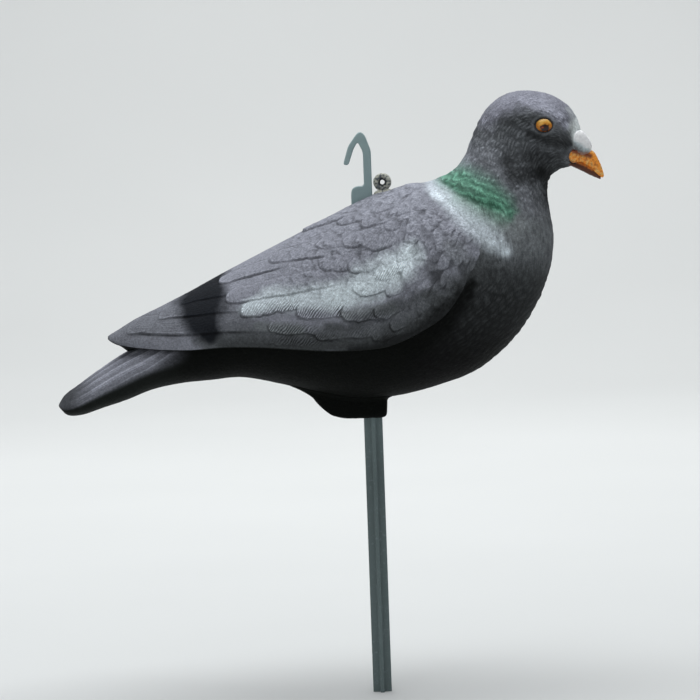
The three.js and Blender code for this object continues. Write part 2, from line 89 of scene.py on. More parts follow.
# Kinds of feather: how far the tip leans to the lower edge, how much the feather tilts outwards, strength of
# its barbs and their slant.
BLADE = (1, 0.7, 0.12, 0.08)
SCALE = (0.1, 0.55, 0.5, 1)
SMOOTH = (0.2, 0.5, 0.3, 1)
VANE = (0.5, 0.6, 1.3, 1)
# Feathers in the side view, in px: the tip's place, length, half width, lift, rise forward.
FEATHERS = [
    (128, 331, 182, 12, 1, 0, *BLADE), (160, 317, 150, 12, 1, 0, *BLADE), (183, 302.5, 122, 12, 1, 0, *BLADE),
    (267, 336, 60, 5, 0.45, 0, *VANE), (316, 330, 90, 6.5, 0.75, 0, *VANE), (372, 333, 60, 6, 0.5, 0.05, *VANE),
    (270, 323.5, 90, 6.8, 0.9, 0, *VANE), (243, 309, 75, 9, 1.1, 0.2, *VANE),
    (227.5, 297, 130, 9.5, 1.1, 0.22, *SMOOTH), (220, 281, 80, 9.5, 1.25, 0.25, *SMOOTH),
    (298, 308, 75, 9, 1, 0.04, *VANE), (341.5, 309, 56, 9.5, 1.15, 0.04, *SCALE),
    (373.5, 306.5, 50, 9, 1, 0.08, *SCALE), (389, 320, 50, 9, 0.8, 0.15, *SCALE),
    (353, 284, 60, 9, 0.75, 0.1, *SCALE), (386, 287, 44, 8, 0.7, 0.15, *SCALE),
    (270, 258, 84, 11, 1.1, 0.12, *SMOOTH), (303, 231, 60, 8, 1.3, 0.1, *SCALE),
    (317, 242.5, 45, 9, 1, 0.1, *SCALE), (320, 261.5, 50, 8, 0.95, 0.1, *SCALE),
    (343.5, 240, 45, 8, 0.95, 0.1, *SCALE), (349, 262, 45, 8, 1, 0.1, *SCALE),
    (363, 242, 48, 9, 0.85, 0.1, *SCALE), (374, 270, 46, 8, 0.5, 0.1, *SCALE),
    (396, 253, 40, 8, 0.45, 0.1, *SCALE), (401, 270, 40, 8, 0.55, 0.1, *SCALE),
    (408, 300, 40, 9, 0.6, 0.2, *SCALE), (338, 222, 44, 7, 0.7, 0.1, *SCALE),
    (360, 222, 40, 7, 0.75, 0.1, *SCALE), (384, 226, 36, 7, 0.7, 0.1, *SCALE),
    (404, 236, 34, 7, 0.6, 0.1, *SCALE), (372, 209, 36, 7, 0.6, 0.1, *SCALE),
    (396, 211, 34, 7, 0.55, 0.1, *SCALE),
]
# A crease of the breast in the side view, in px.
CREASE = [(490, 288), (495, 291), (501, 291)]
# Where barbs are cut deep: lines of (px, py, radius).
BARBED = [
    [(276, 311, 9), (296, 307, 10)], [(308, 308, 10), (344, 307, 10)], [(272, 325, 9), (306, 323, 10)],
    [(284, 335, 8), (316, 335, 8)], [(344, 312, 9), (392, 312, 10)], [(372, 275, 8), (398, 266, 10)],
]


def curve(rows, t):
    """Rows of numbers at places t of a smooth curve through the given rows."""
    rows = np.asarray(rows, float)
    i = np.clip(np.floor(t).astype(int), 0, len(rows) - 2)
    f = (t - i)[:, None]
    a, b, c, d = (rows[np.clip(i + k, 0, len(rows) - 1)] for k in (-1, 0, 1, 2))
    return b + 0.5 * f * (c - a + f * (2 * a - 5 * b + 4 * c - d + f * (3 * b - a - 3 * c + d)))


def step(value, low, high):
    """Smooth step from 0 at low to 1 at high."""
    t = np.clip((value - low) / (high - low), 0, 1)
    return t * t * (3 - 2 * t)


def bell(value, middle, width):
    """Soft peak, 1 at the middle."""
    return np.exp(-(((value - middle) / width) ** 2))


def full_turn(count):
    """Angles at even steps round a circle."""
    return 2 * math.pi * np.arange(count) / count


def length_along(line):
    """Length from the start of a line of 2-D points to each of them."""
    return np.concatenate(([0], np.cumsum(np.hypot(*np.diff(line, axis=0).T))))


def resampled(rows, length, at):
    """Rows of numbers that belong to points of a line, at given lengths along it."""
    return np.stack([np.interp(at, length, column) for column in rows.T], 1)


def side_view(points):
    """Places of points in the side view, in px to the right and down."""
    x, z = points[..., 0] / VIEW, (points[..., 2] - STAKE_RISE) / VIEW
    return (VIEW_X + x * math.cos(LEAN) - z * math.sin(LEAN), VIEW_Y - x * math.sin(LEAN) - z * math.cos(LEAN))


def depth_under(px, py, x, y, fall):
    """How far places in the side view lie below a line through x and y that falls towards the front, in px."""
    return py - y - fall * (px - x)


def from_view(px, py):
    """x and z in thousandths of a place in the side view."""
    dx, dy = px - VIEW_X, py - VIEW_Y
    x, z = dx * math.cos(LEAN) - dy * math.sin(LEAN), -dx * math.sin(LEAN) - dy * math.cos(LEAN)
    return x * VIEW / UNIT, z * VIEW / UNIT


def hashed(*cells):
    """Random numbers from 0 to 1 that depend only on whole-number cells."""
    total = np.zeros(np.broadcast(*cells).shape, np.int64) + 1013
    for prime, cell in zip((73856093, 19349663, 83492791, 49979687), cells):
        total = (total ^ (np.asarray(cell, np.int64) * prime)) & 0xFFFFFFFF
        total = (total * 2654435761 + 40503) & 0xFFFFFFFF
        total ^= total >> 15
    return (total & 0xFFFFF) / 0x100000


def noise(points, size, seed):
    """Smooth noise from -1 to 1 at points."""
    q = points / size
    base = np.floor(q).astype(np.int64)
    f = q - base
    f = f * f * (3 - 2 * f)
    total = 0
    for corner in np.ndindex(2, 2, 2):
        weight = np.abs(1 - np.array(corner) - f).prod(-1)
        total = total + weight * hashed(*np.moveaxis(base + corner, -1, 0), seed)
    return 2 * total - 1


def grid_normals(grid, wrap):
    """Unit normals of a grid of points, which closes on itself along its second side where wrap is set."""
    along = np.gradient(grid, axis=0)
    if wrap:
        around = (np.roll(grid, -1, 1) - np.roll(grid, 1, 1)) / 2
    else:
        around = np.gradient(grid, axis=1)
    normal = np.cross(along, around)
    return normal / np.maximum(np.linalg.norm(normal, axis=2, keepdims=True), 1e-9)


def quads_between(rings):
    """Quads between closed rings of point numbers."""
    ahead = np.roll(rings, -1, 1)
    return np.stack([rings[:-1], rings[1:], ahead[1:], ahead[:-1]], -1).reshape(-1, 4).tolist()


def grid_faces(rings, sides):
    """Quads of a closed tube of rings, and a fan on each end; the two middles are the last points."""
    middle, last = rings * sides, (rings - 1) * sides
    faces = quads_between(np.arange(middle).reshape(rings, sides))
    for s in range(sides):
        n = (s + 1) % sides
        faces += [[middle, s, n], [middle + 1, last + n, last + s]]
    return faces


def closed(grid):
    """Points of a tube of rings with the two end middles."""
    return np.concatenate([grid.reshape(-1, 3), grid[[0, -1]].mean(1)])


def raised(grid, relief):
    """A tube of rings with relief on its skin."""
    return grid + grid_normals(grid, True) * relief[..., None]


def linked(name, data):
    """A new object in the scene."""
    made = bpy.data.objects.new(name, data)
    bpy.context.scene.collection.objects.link(made)
    return made


def add_piece(name, points, faces, material, slot="painted_bird", node="pigeon_body", **maps):
    """A piece of the visual model from points in millimetres, riding on the root body.

    The maps are mesh attributes, a colour of paint or a number for each point. The middles that close a tube may
    be left out, and take what its first and last point have.
    """
    mesh = bpy.data.meshes.new(name)
    mesh.from_pydata((np.asarray(points) * MM).tolist(), [], faces)
    mesh.polygons.foreach_set("use_smooth", np.ones(len(mesh.polygons), bool))
    for key, values in maps.items():
        kind, field, parts = ("FLOAT_COLOR", "color", 3) if key == "paint" else ("FLOAT", "value", 1)
        values = values.reshape(-1, parts)
        if len(values) < len(points):
            values = np.concatenate([values, values[[0, -1]]])
        if parts == 3:
            values = np.insert(values, 3, 1, axis=1)
        mesh.attributes.new(key, kind, "POINT").data.foreach_set(field, values.ravel())
    mesh.materials.append(material)
    mesh.update()
    piece = linked(name, mesh)
    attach(piece, "root")
    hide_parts(node)
    return piece


def add_tube(name, grid, material, flipped=False, **maps):
    """A piece that is a closed tube of rings."""
    faces = grid_faces(*grid.shape[:2])
    if flipped:
        faces = [face[::-1] for face in faces]
    add_piece(name, closed(grid), faces, material, **maps)


# Body: tail, belly, breast, neck and head in one skin.
BODY_SIDES = 276  # points round each section


def body_grid():
    t = np.concatenate([
        np.linspace(0, 2, 16, endpoint=False),
        np.linspace(2, 12, 74, endpoint=False),
        np.linspace(12, 17, 90, endpoint=False),
        np.linspace(17, 31, 170),
    ])
    rows = curve(BODY_STATIONS, t)
    half_sides = BODY_SIDES // 2
    angle = np.linspace(0, math.pi, 361)
    cos, sin = np.cos(angle), np.sin(angle)
    grid = np.zeros((len(t), BODY_SIDES, 3))
    height = np.zeros((len(t), BODY_SIDES))
    for i, (top_x, top_z, low_x, low_z, half, widest, above, below) in enumerate(rows):
        power = np.where(cos >= 0, 2 / above, 2 / below)
        out, up = np.abs(sin) ** power, np.abs(cos) ** power
        share = np.where(cos >= 0, widest + (1 - widest) * up, widest * (1 - up))
        x = low_x + (top_x - low_x) * share
        z = low_z + (top_z - low_z) * share
        slope = math.hypot(top_x - low_x, top_z - low_z)
        flat = np.stack([half * out, share * slope, x, z], 1)
        length = length_along(flat[:, :2])
        y, level, x, z = resampled(flat, length, np.linspace(0, length[-1], half_sides + 1)).T
        grid[i, : half_sides + 1] = np.stack([x, y, z], 1)
        grid[i, half_sides + 1 :] = np.stack([x, -y, z], 1)[1:-1][::-1]
        height[i, : half_sides + 1] = level / slope
        height[i, half_sides + 1 :] = height[i, 1:half_sides][::-1]
    grid *= UNIT
    grid[..., 2] += STAKE_RISE
    return t, grid, height


BODY_T, BODY_BASE, BODY_HEIGHT = body_grid()
TREE = BVHTree.FromPolygons(closed(BODY_BASE).tolist(), grid_faces(*BODY_BASE.shape[:2]))


def height_over_body(points):
    """Signed distance of points from the body's plain skin, and the skin's normal there."""
    heights, normals = np.zeros(points.shape[:-1]), np.zeros(points.shape)
    for place in np.ndindex(heights.shape):
        point = Vector(points[place])
        at, normals[place], _, _ = TREE.find_nearest(point)
        heights[place] = (point - at).dot(Vector(normals[place]))
    return heights, normals


# Wings: two shells, each from the middle of the back to the lower edge and in under it.
WING_STEPS = 400  # sections
WING_ROWS = 196  # points on the skin of each section
WING_FINE = 260  # points on the upper part of a section, before it is resampled
TIP_GAP = 3.5  # millimetres from the middle to each wing tip
TIP_GAP_LENGTH = 42.0  # millimetres from the tips to where the gap ends
SLOT = (-15.15, 5.25, 2.85)  # rear and front end and half width of the slot that the stake comes out of


def wing_places():
    """Places along the wing stations at even steps of x, closer at the tip, with the slot's ends doubled."""
    t = np.linspace(0, len(WING_STATIONS) - 1, 4000)
    x = curve(WING_STATIONS, t)[:, 0]
    first, last = x[0], x[-1]
    share = np.linspace(0, 1, WING_STEPS)
    at = first + (last - first) * (share - 0.012 * np.sin(2 * math.pi * share))
    for end in SLOT[:2]:
        nearest = np.argsort(np.abs(at - end / UNIT))[:2]
        at[nearest] = end / UNIT + np.where(at[nearest] < at[nearest].mean(), -0.2, 0.2)
    return np.interp(np.sort(at), x, t)


def wing_line(row):
    """Section of the wings on one side, from the back's middle to the lower edge, in thousandths."""
    _, top, edge, half, widest, roundness = row
    middle = edge + (top - edge) * widest
    angle = np.linspace(0, math.pi / 2, WING_FINE)
    power = 2 / roundness
    upper = np.stack([half * np.sin(angle) ** power, middle + (top - middle) * np.cos(angle) ** power], 1)
    down = np.linspace(0, 1, 41)[1:]
    lower = np.stack([half * (1 - (1 - WING_TUCK) * down * down), middle + (edge - middle) * down], 1)
    return np.concatenate([upper, lower])


def girth_at(x, z):
    """Distance along the wing from its lower edge to the point seen from the side at x and z."""
    t = np.linspace(0, len(WING_STATIONS) - 1, 2000)
    place = np.interp(x, curve(WING_STATIONS, t)[:, 0], t)
    line = wing_line(curve(WING_STATIONS, np.array([place]))[0])
    length = length_along(line)
    at = np.linspace(0, length[-1], 800)
    return np.interp(-z, -resampled(line, length, at)[:, 1], length[-1] - at)


def wing_grid():
    """Outer skin of the left wing with the girth at each point, and the closing points inside it."""
    t = wing_places()
    rows = curve(WING_STATIONS, t)
    skin = np.zeros((len(t), WING_ROWS, 3))
    girth = np.zeros((len(t), WING_ROWS))
    inside = []
    for i, row in enumerate(rows):
        x, top, edge, half, _, _ = row
        line = wing_line(row)
        opening = min(TIP_GAP / UNIT * max(0.0, 1 - (x - rows[0, 0]) * UNIT / TIP_GAP_LENGTH), 0.8 * half)
        length = length_along(line)
        across = line[:WING_FINE, 0], length[:WING_FINE]
        at = np.linspace(np.interp(opening, *across), length[-1], WING_ROWS)
        if SLOT[0] < x * UNIT < SLOT[1]:
            opening = SLOT[2] / UNIT
            at = np.maximum(at, np.interp(opening, *across) + 0.002 * at)
        skin_line = resampled(line, length, at)
        girth[i] = length[-1] - at
        skin[i] = np.column_stack([np.full(WING_ROWS, x), skin_line])
        rim = min(WING_RIM, half / 3)
        outer = half * WING_TUCK
        inner = max(outer - rim, opening)
        low = edge - 0.4 * rim
        turn = np.linspace(0, math.pi / 2, 6)[1:]
        round_rim = np.stack([inner + (outer - inner) * np.cos(turn), edge + (low - edge) * np.sin(turn)], 1)
        share = np.linspace(1, 0, 10)[1:]
        rise = min(WING_ARCH, (skin_line[0, 1] - edge) / 2)
        rise -= (rise + TIP_BULGE) * np.interp(x, [-470, -440, -380], [0.3, 1, 0])
        under = np.stack([opening + (inner - opening) * share, low + (rise + 0.4 * rim) * (1 - share * share)], 1)
        wall = np.linspace(under[-1, 1], skin_line[0, 1], 6)[1:-1]
        wall = np.stack([np.full(4, opening), wall], 1)
        back = np.concatenate([round_rim, under, wall])
        inside.append(np.column_stack([np.full(len(back), x), back]))
    inside = np.array(inside)
    for part in (skin, inside):
        part *= UNIT
        part[..., 2] += STAKE_RISE
    return rows[:, 0], skin, girth, inside


WING_X, WING_SKIN, GIRTH, WING_INSIDE = wing_grid()


def feather_list():
    """The feathers of a wing in thousandths, with the girth of each tip in place of its height."""
    rows = []
    for px, py, *sizes in FEATHERS:
        x, z = from_view(px, py)
        length, half, lift, *kind = sizes
        rows.append((x, girth_at(x, z), length * VIEW / UNIT, half * VIEW / UNIT, lift, *kind))
    return rows


TIP_ROUND = 1.4  # length of a feather's rounded tip in half widths
BARB_PITCH = 2.1  # millimetres from one barb to the next
GROOVE_DEPTH, BARB_HEIGHT = 0.5, 0.15  # millimetres
SHOULDER_START = 60  # thousandths: in front of this the wing eases into the body
BAR_END = -285  # thousandths: feathers whose tips lie before this cover the wing bar


def plumage():
    """Relief of the feathers over the wing in millimetres, with masks of their grooves and rims, the phase and
    strength of their barbs, and a mask of what covers the wing bar."""
    x = np.broadcast_to(WING_X[:, None], GIRTH.shape)
    flat = np.stack([x, GIRTH, 0 * x], -1)
    ragged = 1.4 * noise(flat, 11.0, 11) + 0.8 * noise(flat, 5.0, 12)
    drift = 2.2 * noise(flat, 30.0, 13)
    uneven = 0.75 + 0.6 * noise(flat, 24.0, 17)
    relief, phase, gain, rim, covered = (np.zeros(GIRTH.shape) for _ in range(5))
    grooves = []
    for number, (tip, base, length, half, lift, rise, lean, tilt, barbs, slant) in enumerate(feather_list()):
        soft = step(barbs, 0.1, 0.5)
        along = x - tip
        end = np.clip(1 - along / (TIP_ROUND * half), 0, 4)
        middle = base + rise * along + lean * half * (1 - np.minimum(end, 1) ** 2) + soft * drift
        across = (GIRTH - middle) / half
        shape = 1 - end * end - across * across
        slope = 2 * np.hypot(end / (TIP_ROUND * half), across / half) + 1e-4
        inward = shape / slope + ragged * (0.15 + 1.3 * soft)
        cover = step(inward, -0.8, 1.0)
        front = np.clip(1 - along / length, 0, 1)
        share = np.clip(across, -1, 1)
        level = RELIEF * lift * front * (1 - tilt * (1 + share) / 2) * (1 - 0.3 * share * share)
        height = np.where(along < length, level, 0) * cover
        on_top = height > relief + 0.02
        edge_here = 0.6 * bell(inward, 2.4, 1.7) * np.minimum(level, 1)
        rim = np.where(on_top, edge_here, rim)
        lines = slant * along - (0.8 if slant > 0.5 else 1.2) * (GIRTH - middle)
        phase = np.where(on_top, lines * UNIT + 0.5 * ragged + 0.3 * drift + 3.7 * number, phase)
        strength = barbs * (1 - 0.6 * step(across, -0.2, 0.5)) * step(front, 0.0, 0.4) * np.clip(uneven, 0.25, 1)
        gain = np.where(on_top, strength, gain)
        covered = np.maximum(covered, cover * (along < length)) if tip > BAR_END else covered
        side = 1 - 0.65 * step(across, 0.1, 0.8) * soft
        faint = 0.2 + 0.8 * np.maximum(soft, step(along, 4, 40))
        grooves.append((inward, level, (along < length) * side * faint, 1.5 + 0.8 * (1 - soft)))
        relief = np.maximum(relief, height)
    # Grooves round the feathers, weaker on their upper sides: carved, and darkened in the colour as painted shadow
    # below the edges.
    groove = np.zeros(GIRTH.shape)
    for inward, level, valid, width in grooves:
        depth = bell(inward, -width, width) * step(level - relief, 0.1, 0.5) * valid
        groove = np.maximum(groove, depth * np.clip(uneven, 0.35, 1))
    return relief, groove, rim, phase, gain, covered


RELIEF_MAP, GROOVE_MAP, RIM_MAP, BARB_PHASE, BARB_GAIN, COVERED = plumage()


# Paint


def linear(red, green, blue):
    """Scene colour of a display colour with parts from 0 to 255."""
    c = np.array([red, green, blue]) / 255
    return np.where(c <= 0.04045, c / 12.92, ((c + 0.055) / 1.055) ** 2.4)


def patch(px, py, line, soft=1.0):
    """Soft mask round a line of (px, py, radius) points: 1 on the line, 0 at the radius."""
    best = np.zeros(px.shape)
    for (ax, ay, ar), (bx, by, br) in zip(line, line[1:]):
        dx, dy = bx - ax, by - ay
        t = np.clip(((px - ax) * dx + (py - ay) * dy) / (dx * dx + dy * dy), 0, 1)
        far = np.hypot(px - ax - t * dx, py - ay - t * dy)
        best = np.maximum(best, 1 - far / (ar + t * (br - ar)))
    return step(best, 0, soft)


def grey(value, violet=0.5):
    """Paint of a display value from 0 to 255, from greenish to violet grey."""
    return linear(value * (0.955 + 0.03 * violet), value * (1.0 - 0.02 * violet), value * (1.0 + 0.09 * violet))


SLATE = grey(140, 0.6)
PALE = linear(214, 225, 230)
COLLAR = linear(210, 220, 227)
GREEN = linear(92, 150, 124)
DEEP_GREEN = linear(50, 100, 78)
PALE_GREEN = linear(134, 174, 154)
COAL = linear(30, 32, 31)
# Near-black: the dark paint of the belly and its boss, also laid on as painted shade under the wings and on the
# flank.
NEAR_BLACK = linear(6, 8, 6)
CERE_WHITE = linear(226, 233, 232)
TAIL_GREY = grey(158, 0.6)
# Grey of the breast and belly, from 0 to 255, by depth in the side view, in px: darker downwards, partly the belly's
# dark paint and partly painted shade of the light from above.
BREAST_DEPTH = (246, 260, 276, 300, 325, 345, 362, 378, 392)
BREAST_GREY = (104, 90, 72, 56, 45, 28, 17, 11, 8)
# Soft patches of paint: colour, strength, share of the radius that is soft, and a line of (px, py, radius).
WING_PAINT = [
    (grey(112, 0.5), 0.9, 0.8, [(100, 336, 22), (160, 322, 26), (210, 306, 30), (250, 322, 16)]),
    (grey(94, 0.3), 0.9, 0.7, [(215, 338, 22), (300, 336, 18), (380, 330, 20), (420, 308, 22), (446, 285, 22)]),
    # Darker along the wing's lower and front edge: dark paint together with painted shade.
    (grey(64, 0.1), 0.9, 0.9, [
        (225, 343, 13), (300, 343, 14), (380, 338, 18), (428, 317, 22), (455, 290, 20), (472, 262, 13),
    ]),
    (grey(100, 0.5), 0.7, 0.9, [(430, 262, 16), (440, 278, 16)]),
    (grey(116, 0.3), 0.7, 0.9, [(452, 246, 19), (462, 260, 16)]),
    (PALE, 0.95, 0.95, [(336, 291, 19), (350, 288, 23), (374, 277, 28), (395, 262, 27), (409, 250, 19)]),
    (PALE, 0.74, 0.85, [(247, 305, 10), (258, 301, 13), (276, 295, 17), (304, 293, 19), (336, 291, 21)]),
    (grey(112, 0.1), 0.75, 0.8, [(262, 322, 9), (300, 325, 10)]),
    (grey(132, 0.1), 0.7, 0.8, [(345, 310, 8), (392, 304, 10)]),
    (grey(70, 0.2), 0.6, 0.9, [(200, 338, 9), (222, 336, 12), (262, 338, 13), (340, 336, 13)]),
    (grey(70, 0.2), 0.75, 0.9, [(330, 323, 8), (362, 317, 11), (404, 298, 10), (419, 289, 11), (440, 296, 10)]),
    # Painted shade along the wing's lower front rim, where it overhangs the breast.
    (grey(30, 0.1), 0.9, 0.9, [
        (350, 344, 7), (382, 341, 11), (405, 333, 13), (425, 321, 14), (445, 305, 13), (460, 288, 9),
    ]),
]
BAR_PAINT = [
    (linear(20, 23, 28), 0.97, 0.55, [
        (214, 272, 20), (205, 286, 30), (203, 301, 34), (203, 315, 27), (210, 328, 15),
    ]),
]
BODY_PAINT = [
    (grey(128, 0.2), 1, 0.8, [(506, 226, 26), (532, 236, 34)]),
    (grey(132, 0.4), 0.9, 0.9, [(484, 150, 20), (524, 206, 22)]),
    (grey(150, 0.5), 0.8, 1, [(462, 148, 17), (468, 164, 20), (476, 180, 20)]),
    (grey(144, 0.7), 1, 0.9, [(486, 118, 18), (512, 98, 20), (540, 92, 22), (566, 104, 18), (578, 120, 10)]),
    (grey(78, 0.2), 0.75, 1, [(505, 122, 16), (528, 119, 13), (545, 115, 9)]),
    (grey(60, 0.2), 0.95, 0.9, [(528, 135, 8), (546, 140, 10), (562, 141, 10), (571, 142, 6)]),
    # This patch and the next two: painted shade on the underside of the head and on the throat.
    (grey(60, 0.2), 0.85, 0.9, [(505, 160, 12), (512, 176, 14), (536, 172, 16), (560, 166, 10)]),
    (grey(40, 0.1), 0.9, 0.9, [(538, 170, 9), (547, 178, 13), (550, 197, 12)]),
    (grey(36, 0.1), 0.7, 1, [(520, 157, 11), (538, 158, 15), (556, 156, 10)]),
    # Lighter crown: painted highlight of the light from above.
    (grey(178, 0.7), 0.8, 1, [(524, 101, 8), (542, 105, 13), (556, 114, 12), (563, 124, 8)]),
]
COLLAR_TOP = [(424, 188, 15), (446, 199, 17), (463, 211, 18), (482, 227, 16)]
# Painted shadow cast by the wing's rim on the flank and breast below it.
UNDER_WING_PAINTED_SHADOW = [
    (NEAR_BLACK, 0.9, 0.9, [(380, 352, 26), (412, 340, 26), (438, 320, 24), (456, 298, 18), (468, 280, 11)]),
]
MANTLE_PAINT = [
    (grey(146, 0.1), 0.75, 1, [(462, 192, 14), (490, 210, 21), (514, 222, 24)]),
    (COLLAR, 0.6, 1, [(430, 185, 11), (446, 191, 14)]),
    (COLLAR, 0.95, 0.95, [
        (434, 192, 9), (446, 198, 13), (462, 210, 19), (479, 226, 20), (492, 239, 17), (501, 247, 11),
    ]),
    (PALE_GREEN, 0.4, 1, [(456, 194, 16), (476, 204, 20), (497, 214, 20)]),
    (GREEN, 0.82, 1, [(446, 176, 18), (462, 178, 23), (482, 189, 24), (498, 202, 21), (508, 211, 12)]),
    (DEEP_GREEN, 0.7, 0.9, [(446, 182, 5), (460, 190, 8), (478, 198, 9), (494, 205, 7)]),
]
FACE_PAINT = [
    (CERE_WHITE, 0.35, 1, [(566, 108, 4), (573, 117, 8), (577, 126, 10)]),
    (CERE_WHITE, 0.8, 1, [(575, 120, 5), (573, 127, 12), (576, 135, 11)]),
    (CERE_WHITE, 1, 0.55, [(578, 127, 6), (578, 135, 10), (580, 143, 11.5)]),
    # Painted shadow under the cere.
    (linear(112, 48, 26), 0.95, 0.8, [(571, 150, 2.6), (578, 152, 3.4), (590, 156, 4)]),
    # Painted shade in the mouth line.
    (linear(40, 18, 12), 0.95, 0.6, [(569.5, 161.5, 1.6), (575, 166, 3), (586, 172, 3)]),
]


def mixed(colour, other, mask):
    return colour + (other - colour) * np.asarray(mask)[..., None]


def painted(colour, px, py, layers):
    """Lays soft patches over colours."""
    for tone, strength, soft, line in layers:
        colour = mixed(colour, tone, strength * patch(px, py, line, soft))
    return colour


def coated(points, base, coats):
    """Colours at points from a base and coats with their masks, all in display colours."""
    colour = np.broadcast_to(linear(*base), points.shape)
    for tone, mask in coats:
        colour = mixed(colour, linear(*tone), mask)
    return colour


def bird_paint(points, on_wing):
    """Colours at points of the bird's skin."""
    px, py = side_view(points)
    rough = noise(points, 9.0, 5) * 3 + noise(points, 3.2, 6) * 2.2
    qx, qy = px + rough, py + 0.8 * rough
    colour = np.broadcast_to(SLATE, points.shape)
    if on_wing:
        colour = painted(colour, qx, qy, WING_PAINT)
        colour = mixed(painted(colour, qx, qy, BAR_PAINT), colour, COVERED)
    else:
        colour = mixed(colour, grey(106, 0.3), step(qx, 436, 470))
        # Breast and belly darker downwards: dark belly paint together with painted shade of the light from above.
        depth = qy + 0.12 * (505 - qx)
        values = np.interp(depth, BREAST_DEPTH, BREAST_GREY).astype(int)
        breast = np.stack([grey(value, 0.15) for value in range(256)])[values]
        colour = painted(colour, qx, qy, BODY_PAINT)
        colour = mixed(colour, breast, step(depth, 240, 272) * step(qy, 215, 245))
        # Painted shadow under the wing's rim.
        colour = painted(colour, qx, qy, UNDER_WING_PAINTED_SHADOW)
    colour = painted(colour, qx, qy, MANTLE_PAINT)
    if not on_wing:
        colour = painted(colour, px + 0.3 * rough, py + 0.3 * rough, FACE_PAINT)
    return colour


def tail_paint(points, colour, share):
    """Paint of the tail and flank: share is the height of a point between lower and upper edge."""
    px, py = side_view(points)
    px = px + 3 * noise(points, 6.0, 9)
    colour = mixed(colour, TAIL_GREY, 1 - step(px, 150, 205))
    low = 1 - step(share, 0.3, 0.58)
    end = 1 - step(px, 68, 108)
    colour = mixed(colour, linear(26, 29, 27), np.maximum(low, 0.85 * end) * (1 - step(px, 220, 260)))
    # Flank under the wing: near-black paint together with painted shade.
    flank = step(px, 150, 196) * (1 - step(px, 395, 430)) * step(py, 300, 330)
    return mixed(colour, NEAR_BLACK, flank)


# Carving of the body
EYE = (324 * UNIT, 21.6, STAKE_RISE + 518 * UNIT)  # middle of the left eye's socket
EYE_HALF = (6.2, 5.1)
# Length and width of the carved dashes and scales, in millimetres.
HEAD_DASH, CROWN_DASH, BREAST_DASH = (7.4, 2.4), (5.0, 2.0), (7.5, 2.8)
MANTLE_SCALE, WING_SCALE, SHOULDER_SCALE = (4.4, 5.0), (5.2, 5.6), (8.5, 9.5)
SCALE_MEAN = 0.52  # height at which a scale neither rises over the skin nor sinks into it
SCALLOP = 7.5  # px from one row of the nape's scallops to the next
TAIL_RIDGE, TAIL_LINE = 7.6, 1.9  # millimetres from one to the next
# Lines of (px, py, radius).
NAPE = [(448, 178, 18), (466, 186, 18), (486, 194, 17), (502, 206, 13)]
BROW = [(526, 114, 6), (542, 110, 7), (558, 117, 6)]
CERE_SEAT = [(577, 136, 6), (579, 143, 8)]


def dashes(along, across, length, width, seed):
    """Short raised dashes in staggered rows, from 0 to 1."""
    row = np.floor(across / width)
    place = along / length + hashed(row, 0 * row, seed)
    column = np.floor(place)
    p = place - column
    q = across / width - row - 0.5
    strength = 0.35 + 0.65 * hashed(row, column, seed + 1)
    drift = (hashed(row, column, seed + 2) - 0.5) * 0.7
    return strength * np.sin(math.pi * p) ** 0.8 * np.clip(1 - (2.3 * (q - drift * (p - 0.5))) ** 2, 0, 1)


def mottle(points):
    """Irregular crests of the mantle and shoulder, from about -0.5 to 0.5."""
    bent = points + 1.6 * np.stack([noise(points, 6.0, seed) for seed in (14, 15, 16)], -1)
    broad = np.abs(noise(bent * (0.75, 1, 1.2), 3.6, 7))
    fine = np.abs(noise(bent, 1.9, 8))
    return 0.55 - 1.15 * broad - 0.75 * fine


def scales(along, across, length, width, seed):
    """Overlapping rounded scales that rise to their tips, which point down the along axis: from 0 to 1."""
    row = np.floor(along / length)
    height = np.zeros(along.shape)
    for back in (-1, 0, 1):
        r = row - back
        shift = hashed(r, 0 * r, seed)
        column = np.floor(across / width - shift)
        for aside in (-1, 0, 1):
            c = column + aside
            tip = (r + 0.7 * hashed(r, c, seed + 1)) * length
            middle = (c + 0.5 + shift + 0.4 * (hashed(r, c, seed + 2) - 0.5)) * width
            p, q = (along - tip) / length, (across - middle) / (0.66 * width)
            end = np.clip(1 - p / 0.7, 0, 3)
            cover = step(1 - end * end - q * q, -0.15, 0.3)
            height = np.maximum(height, cover * np.clip(1 - p / 2, 0, 1) * (0.7 + 0.3 * hashed(r, c, seed + 3)))
    return height


def creased(px, py):
    """Mask of the crease, and of the lip above it."""
    cut = patch(px, py, [(x, y, 2.3) for x, y in CREASE], 0.8)
    lip = patch(px, py, [(x, y - 3, 3.5) for x, y in CREASE], 1.0)
    return cut, lip * (1 - cut)


def eye_distance(points):
    """Distance from the eye's middle in the side view, 1 at its outline."""
    return np.hypot((points[..., 0] - EYE[0]) / EYE_HALF[0], (points[..., 2] - EYE[2]) / EYE_HALF[1])


